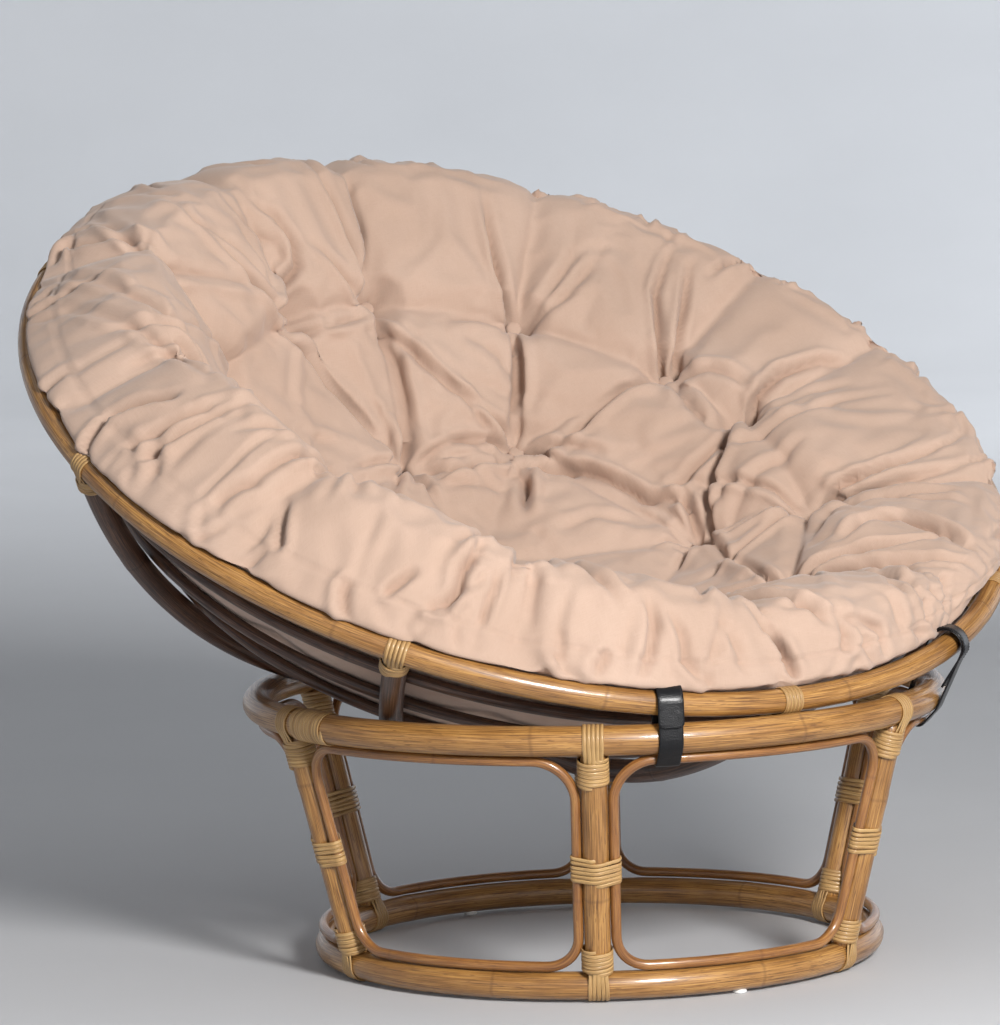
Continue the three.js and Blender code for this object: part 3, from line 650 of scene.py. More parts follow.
def turns_round(circles, turns, start, pitch, rng, count=56):
    """A strand wound round circles, in a frame whose third axis is the pole's. Its ends are tucked under."""
    outline, _ = drawn_round(circles, STRAND_THICK / 2, np.linspace(0, 2 * math.pi, 180, endpoint=False))
    even, out = evenly(outline, count)
    path, outs = [], []
    waver = [rng.uniform(-WAVER_SHARE, WAVER_SHARE) * pitch for _ in range(turns + 2)]
    total = turns * count
    for i in range(total + 1):
        turn = i / count
        k = int(turn)
        drift = waver[k] + (waver[k + 1] - waver[k]) * (turn - k)
        tuck = STRAND_THICK * (max(0, 1 - i / TUCK_POINTS) + max(0, 1 - (total - i) / TUCK_POINTS))
        j = i % count
        spot = even[j] - out[j] * tuck
        path.append([spot[0], spot[1], start + pitch * turn + drift * math.sin(2 * math.pi * turn) ** 2])
        outs.append([out[j][0], out[j][1], 0])
    return np.array(path), np.array(outs)


def saddle_over(ring_r, leg_r, offset, top_gap, reach, lead_in):
    """A strand over a ring and down both sides of the pole below it, `offset` to one side."""
    side = math.sqrt(leg_r ** 2 - min(abs(offset), leg_r * SADDLE_SPREAD) ** 2)
    angles = np.radians(np.linspace(204, -24, 40))
    arc, out = drawn_round([(0, 0, ring_r), (0, -lead_in, side)], STRAND_THICK / 2, angles)
    run = np.linspace(lead_in, reach, 6)[1:]
    left = np.array([[-side - STRAND_THICK / 2, -v] for v in run[::-1]])
    right = np.array([[side + STRAND_THICK / 2, -v] for v in run])
    flat = np.vstack([left, arc, right])
    outs = np.vstack([[[-1, 0]] * len(left), out, [[1, 0]] * len(right)])
    narrowing = np.clip((-flat[:, 1] - NARROW_FROM) / (lead_in - NARROW_FROM), 0, 1)
    aside = offset * (1 - SADDLE_NARROWING * narrowing) + np.sign(offset) * top_gap * (1 - narrowing)
    path = np.stack([flat[:, 0], aside, flat[:, 1]], axis=1)
    return path, np.stack([outs[:, 0], np.zeros(len(flat)), outs[:, 1]], axis=1)


def strands(name, pieces, origin, axes, body, node):
    """Strands from a local frame (out, aside, up) to the room, as one piece in a node's place."""
    turn = np.array(axes)
    paths = [origin + path @ turn for path, _ in pieces]
    outs = [out @ turn for _, out in pieces]
    made = path_object(name, paths, outs)
    grown(made, strand_nodes, {"Width": STRAND_WIDTH, "Thick": STRAND_THICK, "Material": split_cane})
    return settle(made, body, "split_cane", node)


# %% [markdown]
# ## The windings of the base
#
# At the top of each leg five strands run over the ring and down both sides of the leg, and a collar of seven
# turns holds them there. The foot is the same, upside down and a turn shorter. In the middle six turns go
# round the leg and the canes of both loops beside it, which keeps the loops in place. A real winding is never
# quite even, so each turn wavers a little, from a fixed seed.

# %% Bindings of the base
SADDLE_STRANDS, SADDLE_PITCH, SADDLE_LOOSENESS, SADDLE_LEAD = 5, 4.5 * MM, 0.3, 1 * MM
COLLAR_TURNS, COLLAR_PITCH, COLLAR_FROM, COLLAR_COVER = 7, 4.3 * MM, 18 * MM, 2 * MM
WINDING_SEED = 4
MID_TURNS, MID_PITCH, MID_SHARE, MID_POINTS = 6, 4.8 * MM, 0.48, 90
LOOP_INSET = 0.7 * MM


def joint_pieces(ring_r, leg_r, collar_from, turns, rng):
    """The strands over a joint, and the collar of turns that holds them to the leg or rib."""
    pieces = []
    reach = collar_from + turns * COLLAR_PITCH - COLLAR_COVER
    for i in range(SADDLE_STRANDS):
        offset = (i - (SADDLE_STRANDS - 1) / 2) * SADDLE_PITCH
        gap = rng.uniform(0, SADDLE_LOOSENESS) * MM
        pieces.append(saddle_over(ring_r, leg_r, offset, gap, reach, collar_from + SADDLE_LEAD))
    # The collar lies over the strands' ends, so its outline is not quite round
    x, y, thin_r = 1.3 * MM, 2 * MM, leg_r - 1.5 * MM
    around = [(x, -y, leg_r), (x, y, thin_r), (-x, -y, thin_r), (-x, y, thin_r), (0, 0, leg_r + 0.4 * MM)]
    path, out = turns_round(around, turns, collar_from, COLLAR_PITCH, rng)
    path[:, 2] *= -1
    pieces.append((path, out))
    return pieces


rng = random.Random(WINDING_SEED)
for k in range(LEG_COUNT):
    azimuth = leg_azimuth(k)
    top = on_base(UPPER_RING_R, azimuth, UPPER_Z)
    foot = on_base(LOWER_RING_R, azimuth, LOWER_Z)
    up = (top - foot) / np.linalg.norm(top - foot)
    aside = np.array([-math.sin(azimuth), math.cos(azimuth), 0])
    out = np.cross(aside, up)
    upper = joint_pieces(UPPER_POLE_R, LEG_R, COLLAR_FROM, COLLAR_TURNS, rng)
    strands(f"top_wrap_{k + 1}", upper, top, (out, aside, up), "base", f"top_binding_{k + 1}")
    lower = joint_pieces(LOWER_POLE_R, LEG_R, COLLAR_FROM, COLLAR_TURNS - 1, rng)
    strands(f"foot_wrap_{k + 1}", lower, foot, (out, aside, -up), "base", f"foot_binding_{k + 1}")
    apart = LEG_R + TOUCH + LOOP_CANE_R
    held = [(0, 0, LEG_R), (-LOOP_INSET, apart, LOOP_CANE_R), (-LOOP_INSET, -apart, LOOP_CANE_R)]
    middle = foot + (top - foot) * MID_SHARE
    wound = turns_round(held, MID_TURNS, -MID_TURNS / 2 * MID_PITCH, MID_PITCH, rng, MID_POINTS)
    strands(f"mid_wrap_{k + 1}", [wound], middle, (out, aside, up), "base", f"mid_winding_{k + 1}")
print(3 * LEG_COUNT, "windings on the base")

# %% [markdown]
# The pole of the upper ring is spliced. Its ends are cut at a slant, laid on each other beside a leg and
# wound over with thirteen turns, which the photograph shows at the left. The winding is made straight and
# then bent along with the ring.

# %% The ring's splice
SPLICE_TURNS, SPLICE_POINTS, SPLICE_FROM_LEG = 13, 40, math.radians(7.2)
SPLICE_AZIMUTH = leg_azimuth(UPPER_SPLICE_LEG) + SPLICE_FROM_LEG


def splice(name, radius, pole_r, z, azimuth, turns):
    """A winding round a ring's own pole, bent along with the ring."""
    half = turns / 2 * COLLAR_PITCH
    wound, outs = turns_round([(0, 0, pole_r)], turns, -half, COLLAR_PITCH, rng, SPLICE_POINTS)
    path, out = [], []
    for (x, y, along), (ox, oy, _) in zip(wound, outs):
        a = azimuth + along / radius
        path.append(on_base(radius + x, a, z + y))
        out.append([ox * math.cos(a), ox * math.sin(a), oy])
    made = path_object(name, [np.array(path)], [np.array(out)])
    grown(made, strand_nodes, {"Width": STRAND_WIDTH, "Thick": STRAND_THICK, "Material": split_cane})
    return settle(made, "base", "split_cane")


splice("upper_splice", UPPER_RING_R, UPPER_POLE_R, UPPER_Z, SPLICE_AZIMUTH, SPLICE_TURNS)

# %% [markdown]
# ## The windings of the bowl
#
# Each rib hangs from the rim in the same kind of winding, but its collar has only four turns. The winding's
# frame follows the rib's last stretch.

# %% Rib bindings
RIB_COLLAR_FROM, RIB_COLLAR_TURNS = 14 * MM, 4
for k in range(RIB_COUNT):
    around = 2 * math.pi * k / RIB_COUNT
    on_rim = on_sphere(RIB_SPHERE_R, RIM_ANGLE, around)
    down_rib = on_sphere(1, RIM_ANGLE - math.pi / 2, around)
    aside = np.array([math.cos(around), math.sin(around), 0])
    up = -down_rib
    out = np.cross(aside, up)
    pieces = joint_pieces(RIM_POLE_R, RIB_R, RIB_COLLAR_FROM, RIB_COLLAR_TURNS, rng)
    axes = [BOWL_TURN @ out, BOWL_TURN @ aside, BOWL_TURN @ up]
    strands(f"rib_wrap_{k + 1}", pieces, in_bowl([on_rim])[0], axes, "bowl", f"rib_binding_{k + 1}")
print(RIB_COUNT, "windings on the rim")

# %% [markdown]
# ## The straps
#
# Two straps of black leather tie the rim to the upper ring. Each is a closed band drawn tight round both
# poles and the thin cane below. A shorter second layer lies over the upper half and ends in a rounded tip
# just above the ring, with a stitched edge.

# %% Materials: leather, thread and plastic
def leather_material():
    material, tree, skin = shader("black_leather")
    coords = place(tree, "ShaderNodeTexCoord").outputs["Object"]
    cells = place(tree, "ShaderNodeTexVoronoi", {"Vector": coords, "Scale": 900.0}).outputs["Distance"]
    folds = place(tree, "ShaderNodeTexNoise", {"Vector": coords, "Scale": 120.0, "Detail": 4.0}).outputs["Fac"]
    height = sum_of(tree, "ADD", sum_of(tree, "MULTIPLY", cells, 0.35), folds)
    bump = place(tree, "ShaderNodeBump", {"Height": height, "Strength": 0.55, "Distance": 0.0008})
    tree.links.new(bump.outputs[0], skin.inputs["Normal"])
    skin.inputs["Base Color"].default_value = (0.004, 0.004, 0.005, 1)
    skin.inputs["Roughness"].default_value = 0.34
    skin.inputs["Specular IOR Level"].default_value = 0.28
    skin.inputs["Coat Weight"].default_value = 0.12
    skin.inputs["Coat Roughness"].default_value = 0.12
    return material


def plain_material(name, color, rough):
    material, tree, skin = shader(name)
    coords = place(tree, "ShaderNodeTexCoord").outputs["Object"]
    spots = place(tree, "ShaderNodeTexNoise", {"Vector": coords, "Scale": 350.0, "Detail": 3.0}).outputs["Fac"]
    rub = place(tree, "ShaderNodeMapRange", {"Value": spots, "To Min": rough - 0.08, "To Max": rough + 0.08})
    tree.links.new(rub.outputs[0], skin.inputs["Roughness"])
    skin.inputs["Base Color"].default_value = (*color, 1)
    return material


black_leather = leather_material()
black_thread = plain_material("black_thread", (0.012, 0.012, 0.013), 0.6)
white_plastic = plain_material("white_plastic", (0.82, 0.81, 0.78), 0.4)

# %% [markdown]
# A strap's band has soft edges, so its section is a flat oval with square shoulders. The outline is swept by
# hand here, ring by ring, because the second layer's tip narrows at its end.

# %% A strap's band and its second layer
STRAP_WIDTH, STRAP_THICK, STRAP_CLEAR = 28 * MM, 2.4 * MM, 0.6 * MM
STRAP_RIM_ANGLES = [math.radians(-15), math.radians(27.5)]
BAND_WIDTH, BAND_THICK, BAND_POINTS = STRAP_WIDTH - 2 * MM, 0.9 * STRAP_THICK, 120
FLAP_LAYER, FLAP_THICK, FLAP_POINTS = 1.42 * STRAP_THICK, 0.85 * STRAP_THICK, 90
FLAP_RISE, FLAP_TIP, FLAP_TAPER = 13 * MM, 5 * MM, 0.55


def strap_frame(angle):
    """Where a strap's flat section lies: its origin, two directions and the poles that it goes round."""
    spot = in_bowl([on_sphere(RIB_SPHERE_R, RIM_ANGLE, angle)])[0]
    azimuth = math.atan2(spot[1] - BASE_AXIS.y, spot[0])
    out = np.array([math.cos(azimuth), math.sin(azimuth), 0])
    along = np.array([-math.sin(azimuth), math.cos(azimuth), 0])
    origin = np.array([0, BASE_AXIS.y, 0]) + along * (along @ (spot - np.array([0, BASE_AXIS.y, 0])))
    tangent = BOWL_TURN @ np.array([math.cos(angle), math.sin(angle), 0])
    spread = math.sqrt(max(0, 1 - (tangent @ along) ** 2)) * STRAP_WIDTH / 2
    held = [(out @ (spot - origin), spot[2], RIM_POLE_R + STRAP_CLEAR + spread),
            (UPPER_RING_R, UPPER_Z, UPPER_POLE_R + STRAP_CLEAR),
            (cone_r(LOOP_TOP_Z), LOOP_TOP_Z, LOOP_CANE_R + STRAP_CLEAR)]
    return origin, out, along, held


def band_mesh(name, line, outs, widths, thick, frame_axes, closed):
    """A flat band along a line in the plane (out, up), with rounded edges."""
    origin, out, along, _ = frame_axes
    edge = [(1, 0.0), (0.97, 0.36), (0.88, 0.5), (0.5, 0.53), (0, 0.54)]
    edge = edge + [(-x, y) for x, y in edge[-2::-1]]
    ring_shape = edge + [(x, -y) for x, y in edge[-2:0:-1]]
    verts, faces = [], []
    for (x, z), (ox, oz), width in zip(line, outs, widths):
        for across, height in ring_shape:
            high = height * thick
            spot = origin + out * (x + ox * high) + along * (across * width / 2)
            verts.append([spot[0], spot[1], z + oz * high])
    n, count = len(ring_shape), len(line)
    for i in range(count if closed else count - 1):
        a, b = i * n, ((i + 1) % count) * n
        faces += [(a + j, b + j, b + (j + 1) % n, a + (j + 1) % n) for j in range(n)]
    if not closed:
        faces += [tuple(range(n)), tuple(range((count - 1) * n, count * n))[::-1]]
    return mesh_object(name, verts, [], faces, smooth=True)


def flap_line(held):
    """The second layer's line, from behind the rim to its tip above the ring, with outs and widths."""
    tip = np.array([held[1][0] + held[1][2] + FLAP_LAYER, UPPER_Z + FLAP_RISE])
    outer, outer_out = drawn_round(held, FLAP_LAYER, np.radians(np.linspace(196, -12, 150)))
    lead = [outer[-1] + (tip - outer[-1]) * share for share in np.linspace(0, 1, 12)[1:]]
    keep = outer[:, 1] > tip[1]
    line = np.vstack([outer[keep], [p for p in lead if p[1] > tip[1] - 1e-6]])
    outs = np.vstack([outer_out[keep], [outer_out[keep][-1]] * (len(line) - keep.sum())])
    run = run_along(line)
    spots = np.linspace(0, run[-1], FLAP_POINTS)
    line = np.stack([np.interp(spots, run, line[:, j]) for j in range(2)], axis=1)
    outs = np.stack([np.interp(spots, run, outs[:, j]) for j in range(2)], axis=1)
    near_tip = np.clip(1 - (run[-1] - spots) / FLAP_TIP, 0, 1)
    return line, outs, STRAP_WIDTH * np.sqrt(1 - FLAP_TAPER * near_tip ** 2)


# %% [markdown]
# The stitches are small ovals on points along both edges of the second layer, placed and turned along the
# seam by Geometry Nodes. Each has only a few faces, because there are hundreds of them.

# %% Straps
STITCH_SPACING, STITCH_SIZE, STITCH_STRETCH = 3.2 * MM, 0.42 * MM, 3.0
SEAM_INSET, STITCH_HEIGHT = 2.4 * MM, 0.47


def stitches_tree():
    tree, given, out = geometry_tree("stitches", [
        ("Spacing", "NodeSocketFloat", 0.003), ("Size", "NodeSocketFloat", 0.0008),
        ("Stretch", "NodeSocketFloat", 2.6), ("Material", "NodeSocketMaterial", None)])
    line = place(tree, "GeometryNodeMeshToCurve", {"Mesh": given["Geometry"]}).outputs[0]
    points = place(tree, "GeometryNodeCurveToPoints", {
        "Curve": line, "Length": given["Spacing"]}, mode="LENGTH")
    turn = place(tree, "FunctionNodeAlignRotationToVector", {"Vector": points.outputs["Tangent"]}, axis="X")
    bead = place(tree, "GeometryNodeMeshIcoSphere", {"Radius": given["Size"], "Subdivisions": 1}).outputs[0]
    size = place(tree, "ShaderNodeCombineXYZ", {0: given["Stretch"], 1: 1.0, 2: 1.0}).outputs[0]
    set_on = place(tree, "GeometryNodeInstanceOnPoints", {
        "Points": points.outputs[0], "Instance": bead, "Rotation": turn.outputs[0], "Scale": size}).outputs[0]
    smooth = place(tree, "GeometryNodeSetShadeSmooth", {"Geometry": set_on}).outputs[0]
    real = place(tree, "GeometryNodeRealizeInstances", {"Geometry": smooth}).outputs[0]
    painted = place(tree, "GeometryNodeSetMaterial", {"Geometry": real, "Material": given["Material"]})
    tree.links.new(painted.outputs[0], out["Geometry"])
    return tree


stitch_nodes = stitches_tree()
for i, angle in enumerate(STRAP_RIM_ANGLES):
    axes = strap_frame(angle)
    origin, out, along, held = axes
    outline, _ = drawn_round(held, STRAP_THICK / 2, np.linspace(0, 2 * math.pi, 240, endpoint=False))
    line, outs = evenly(outline, BAND_POINTS)
    band = band_mesh(f"strap_{i + 1}_band", line, outs, [BAND_WIDTH] * BAND_POINTS, BAND_THICK, axes, True)
    band.data.materials.append(black_leather)
    settle(band, "bowl", "straps", f"strap_{i + 1}")
    top_line, top_outs, widths = flap_line(held)
    flap = band_mesh(f"strap_{i + 1}_flap", top_line, top_outs, widths, FLAP_THICK, axes, False)
    flap.data.materials.append(black_leather)
    settle(flap, "bowl", "straps")
    seams = []
    for side in (-1, 1):
        face = top_line + top_outs * STRAP_THICK * STITCH_HEIGHT
        seam = [origin + out * x + along * side * (w / 2 - SEAM_INSET) + np.array([0, 0, z])
                for (x, z), w in zip(face, widths)]
        seams.append(np.array(seam))
    sewn = path_object(f"strap_{i + 1}_stitches", seams)
    grown(sewn, stitch_nodes, {"Spacing": STITCH_SPACING, "Size": STITCH_SIZE, "Stretch": STITCH_STRETCH,
                               "Material": black_thread})
    settle(sewn, "bowl", "straps")
    print("strap", i + 1, "is", round(float(run_along(line)[-1]) * 1000), "mm round")

# %% [markdown]
# ## The glides
#
# Four small white feet are nailed under the lower ring, so that the cane does not wear on the floor. They
# are turned pieces, a shank with a rounded sole, and sit where the solids have them.

# %% Glides
def turned(name, outline, centre, sides=32):
    """An outline of (radius, height) turned round an upright axis, closed at both ends."""
    verts, faces = [], []
    for r, z in outline:
        for i in range(sides):
            a = 2 * math.pi * i / sides
            verts.append((centre[0] + r * math.cos(a), centre[1] + r * math.sin(a), centre[2] + z))
    for j in range(len(outline) - 1):
        for i in range(sides):
            a, b = j * sides + i, j * sides + (i + 1) % sides
            faces.append((a, b, b + sides, a + sides))
    faces.append(tuple(range(sides))[::-1])
    faces.append(tuple(range((len(outline) - 1) * sides, len(outline) * sides)))
    return mesh_object(name, verts, [], faces, smooth=True)


GLIDE_R, GLIDE_COUNT = 7.5 * MM, 4
for i in range(1, GLIDE_COUNT + 1):
    low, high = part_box(f"glide_{i}")
    outline = [(GLIDE_R * 0.75, 0), (GLIDE_R * 0.92, 0.35 * MM), (GLIDE_R, 1.1 * MM), (GLIDE_R, 2.7 * MM),
               (GLIDE_R * 0.93, 3.1 * MM), (GLIDE_R * 0.8, 5.4 * MM)]
    foot = turned(f"glide_{i}_foot", outline, ((low.x + high.x) / 2, (low.y + high.y) / 2, low.z))
    foot.data.materials.append(white_plastic)
    settle(foot, "base", "glides", f"glide_{i}")
print(GLIDE_COUNT, "glides")

# %% [markdown]
# ## The pad
#
# The pad is two round sheets of cotton, sewn together at the edge, stuffed thick and tied through with
# buttons. It could be sculpted by hand, but its folds come from cloth that has too little room, so it is
# made in the same order as the real one. First comes a smooth dish with its thickness and crest. Then the
# ties pull it in at the tufts and creases run between them. At last a cloth simulation gives the cover its
# slack and lets it settle round the stuffing.
#
# The smooth dish starts as a cube whose faces are cut into a fine grid and pushed out to a ball, which has
# cells of nearly one size everywhere, also in the middle. The ball's upper half becomes the top sheet, its
# lower half the bottom sheet, and its equator is the seam.

# %% The smooth pad
PAD_SPHERE_R, PAD_THICK = 600.4 * MM, 124 * MM
DISH_R = PAD_SPHERE_R - PAD_THICK
DISH_ANGLE = 0.68 * RIM_ANGLE
CREST_INSET, CREST_HEIGHT, CREST_SLUMP_IN, CREST_SLUMP_UP = 85 * MM, 67 * MM, 42 * MM, 35 * MM
EDGE_INSET, EDGE_HEIGHT, EDGE_SLUMP_OUT = 8 * MM, 26 * MM, 12 * MM
LIP_INSET, LIP_HEIGHT = 19 * MM, 3 * MM
EDGE_OVERHANG, OVERHANG_MIDDLE, OVERHANG_REACH = 20 * MM, math.radians(130), math.radians(100)
SLUMP_AZIMUTH = math.radians(-85)
OVERHANG_FADE, OVERHANG_MARK, OVERHANG_SPREAD = math.radians(18), 5.85, 0.42
# Marks count the corners of the outline from the dish's middle
SEAM_PLACE, POINTS_PER_MARK = 5.75, 24
PAD_CELLS = 96
DISH_SHARES = (0, 0.25, 0.5, 0.75, 1)
UNDERSIDE_ANGLES = np.radians([56, 48, 40, 32, 24, 16, 8, 0])


def pad_corners(slump):
    """Corners of the pad's outline: out from the bowl's axis, and up, from the dish's middle round the edge."""
    corners = [(DISH_R * math.sin(s * DISH_ANGLE), -DISH_R * math.cos(s * DISH_ANGLE)) for s in DISH_SHARES]
    corners.append((RIM_RING_R - CREST_INSET - CREST_SLUMP_IN * slump,
                    CREST_HEIGHT + CREST_SLUMP_UP * slump - RIM_DROP))
    corners.append((RIM_RING_R - EDGE_INSET + EDGE_SLUMP_OUT * slump, EDGE_HEIGHT - RIM_DROP))
    corners.append((RIM_RING_R - LIP_INSET, LIP_HEIGHT - RIM_DROP))
    corners += [(PAD_SPHERE_R * math.sin(a), -PAD_SPHERE_R * math.cos(a)) for a in UNDERSIDE_ANGLES]
    return np.array(corners)


def smooth_line(corners):
    """A smooth line through corners, with the same number of points between any two of them."""
    padded = np.vstack([corners[:1], corners, corners[-1:]])
    t = np.linspace(0, 1, POINTS_PER_MARK, endpoint=False)[:, None]
    runs = []
    for p0, p1, p2, p3 in zip(padded, padded[1:], padded[2:], padded[3:]):
        runs.append(0.5 * (2 * p1 + (p2 - p0) * t + (2 * p0 - 5 * p1 + 4 * p2 - p3) * t ** 2
                           + (3 * p1 - p0 - 3 * p2 + p3) * t ** 3))
    return np.vstack(runs + [corners[-1:]])


def pad_ball(cells):
    """A cube's surface in a grid, pushed out to a ball of radius 1: points and four-sided faces."""
    index, points, faces = {}, [], []
    for axis in range(3):
        for side in (-1, 1):
            grid = np.empty((cells + 1, cells + 1), int)
            for i in range(cells + 1):
                for j in range(cells + 1):
                    spot = [0, 0, 0]
                    spot[axis] = side * cells
                    spot[(axis + 1) % 3], spot[(axis + 2) % 3] = 2 * i - cells, 2 * j - cells
                    key = tuple(spot)
                    if key not in index:
                        index[key] = len(points)
                        points.append(key)
                    grid[i, j] = index[key]
            for i in range(cells):
                for j in range(cells):
                    face = (grid[i, j], grid[i + 1, j], grid[i + 1, j + 1], grid[i, j + 1])
                    faces.append(face if side > 0 else face[::-1])
    spread = np.tan(np.array(points) / cells * math.pi / 4)
    return spread / np.linalg.norm(spread, axis=1)[:, None], faces


level_line = smooth_line(pad_corners(0))
slump_line = smooth_line(pad_corners(1)) - level_line
marks = np.arange(len(level_line)) / POINTS_PER_MARK
lengths = np.linalg.norm(np.diff(level_line, axis=0), axis=1)
run_of = np.concatenate([[0], np.cumsum(lengths)])
area_of = np.concatenate([[0], np.cumsum(lengths * (level_line[1:, 0] + level_line[:-1, 0]) * math.pi)])
ball, pad_faces = pad_ball(PAD_CELLS)
seam_area = np.interp(SEAM_PLACE, marks, area_of)
wanted = np.where(ball[:, 2] >= 0, (1 - ball[:, 2]) * seam_area,
                  seam_area - ball[:, 2] * (area_of[-1] - seam_area))
pad_mark = np.interp(wanted, area_of, marks)
pad_azimuth = np.arctan2(ball[:, 0], -ball[:, 1])


def pad_point(mark, azimuth):
    """A point of the smooth pad. Round the back its edge hangs out over the rim."""
    slump = np.cos(azimuth - SLUMP_AZIMUTH)
    out, up = (np.interp(mark, marks, level_line[:, i]) + slump * np.interp(mark, marks, slump_line[:, i])
               for i in range(2))
    turn = np.abs((azimuth - OVERHANG_MIDDLE + math.pi) % (2 * math.pi) - math.pi)
    share = np.clip((OVERHANG_REACH - turn) / OVERHANG_FADE, 0, 1)
    out = out + EDGE_OVERHANG * share * np.exp(-((mark - OVERHANG_MARK) / OVERHANG_SPREAD) ** 2)
    return np.stack([out * np.sin(azimuth), -out * np.cos(azimuth), up], axis=-1)


smooth_pad = pad_point(pad_mark, pad_azimuth)
seam_loop = np.where(np.abs(ball[:, 2]) < 1e-6)[0]
seam_loop = seam_loop[np.argsort(pad_azimuth[seam_loop])]
print(len(smooth_pad), "points in the pad,", len(seam_loop), "on its seam")

# %% [markdown]
# ### Tufts, pillows and folds
#
# Nineteen ties pull the pad in: one in the middle, six round it and twelve further out. Valleys run from tie
# to tie and from the outer ones over the crest to the seam, and the stuffing stands up in pillows between
# them. Sharper folds lie on top of that. The main ones that the photograph shows are listed as pixels along
# each. Where the view doesn't reach, folds fan out from each outer tuft, and short gathers stand along both
# sides of the seam all round, from a fixed seed.

# %% Where the tufts, pillows and folds are
# Share of the rim's angle, and azimuth in degrees
TUFTS = [(0, 0), (0.429, 10), (0.492, 72), (0.429, 140), (0.327, 181), (0.429, 250), (0.429, 310)] + [
    (0.744, turn) for turn in (0, 32.5, 65, 97.5, 117, 147, 176, 198, 230, 262.5, 295, 327.5)]
INNER_TUFTS, OUTER_TUFTS = range(1, 7), range(7, 19)
BURIED_TUFTS = (4, 10, 14)
SEEN_AZIMUTHS, FOLD_SEED = (88, 240), 11
# Azimuth in degrees, mark on the outline, height and spread in mm of where the stuffing stands up most
PILLOWS = [(81, 4.2, 34, 88), (214, 4.3, 26, 90), (186, 4.3, 12, 70), (162, 4.3, 8, 70), (132, 4.3, 8, 70),
           (107, 4.3, 8, 55), (48, 4.4, 16, 80), (16, 4.5, 12, 80), (343, 4.5, 12, 80), (311, 4.5, 14, 85),
           (278, 4.5, 14, 90), (246, 4.4, 14, 90), (45, 1.6, 12, 80), (105, 1.7, 14, 80), (165, 1.5, 10, 70),
           (215, 1.6, 12, 80), (280, 1.7, 14, 90), (340, 1.7, 14, 90), (118, 3.2, 14, 70), (165, 3.1, 16, 80)]
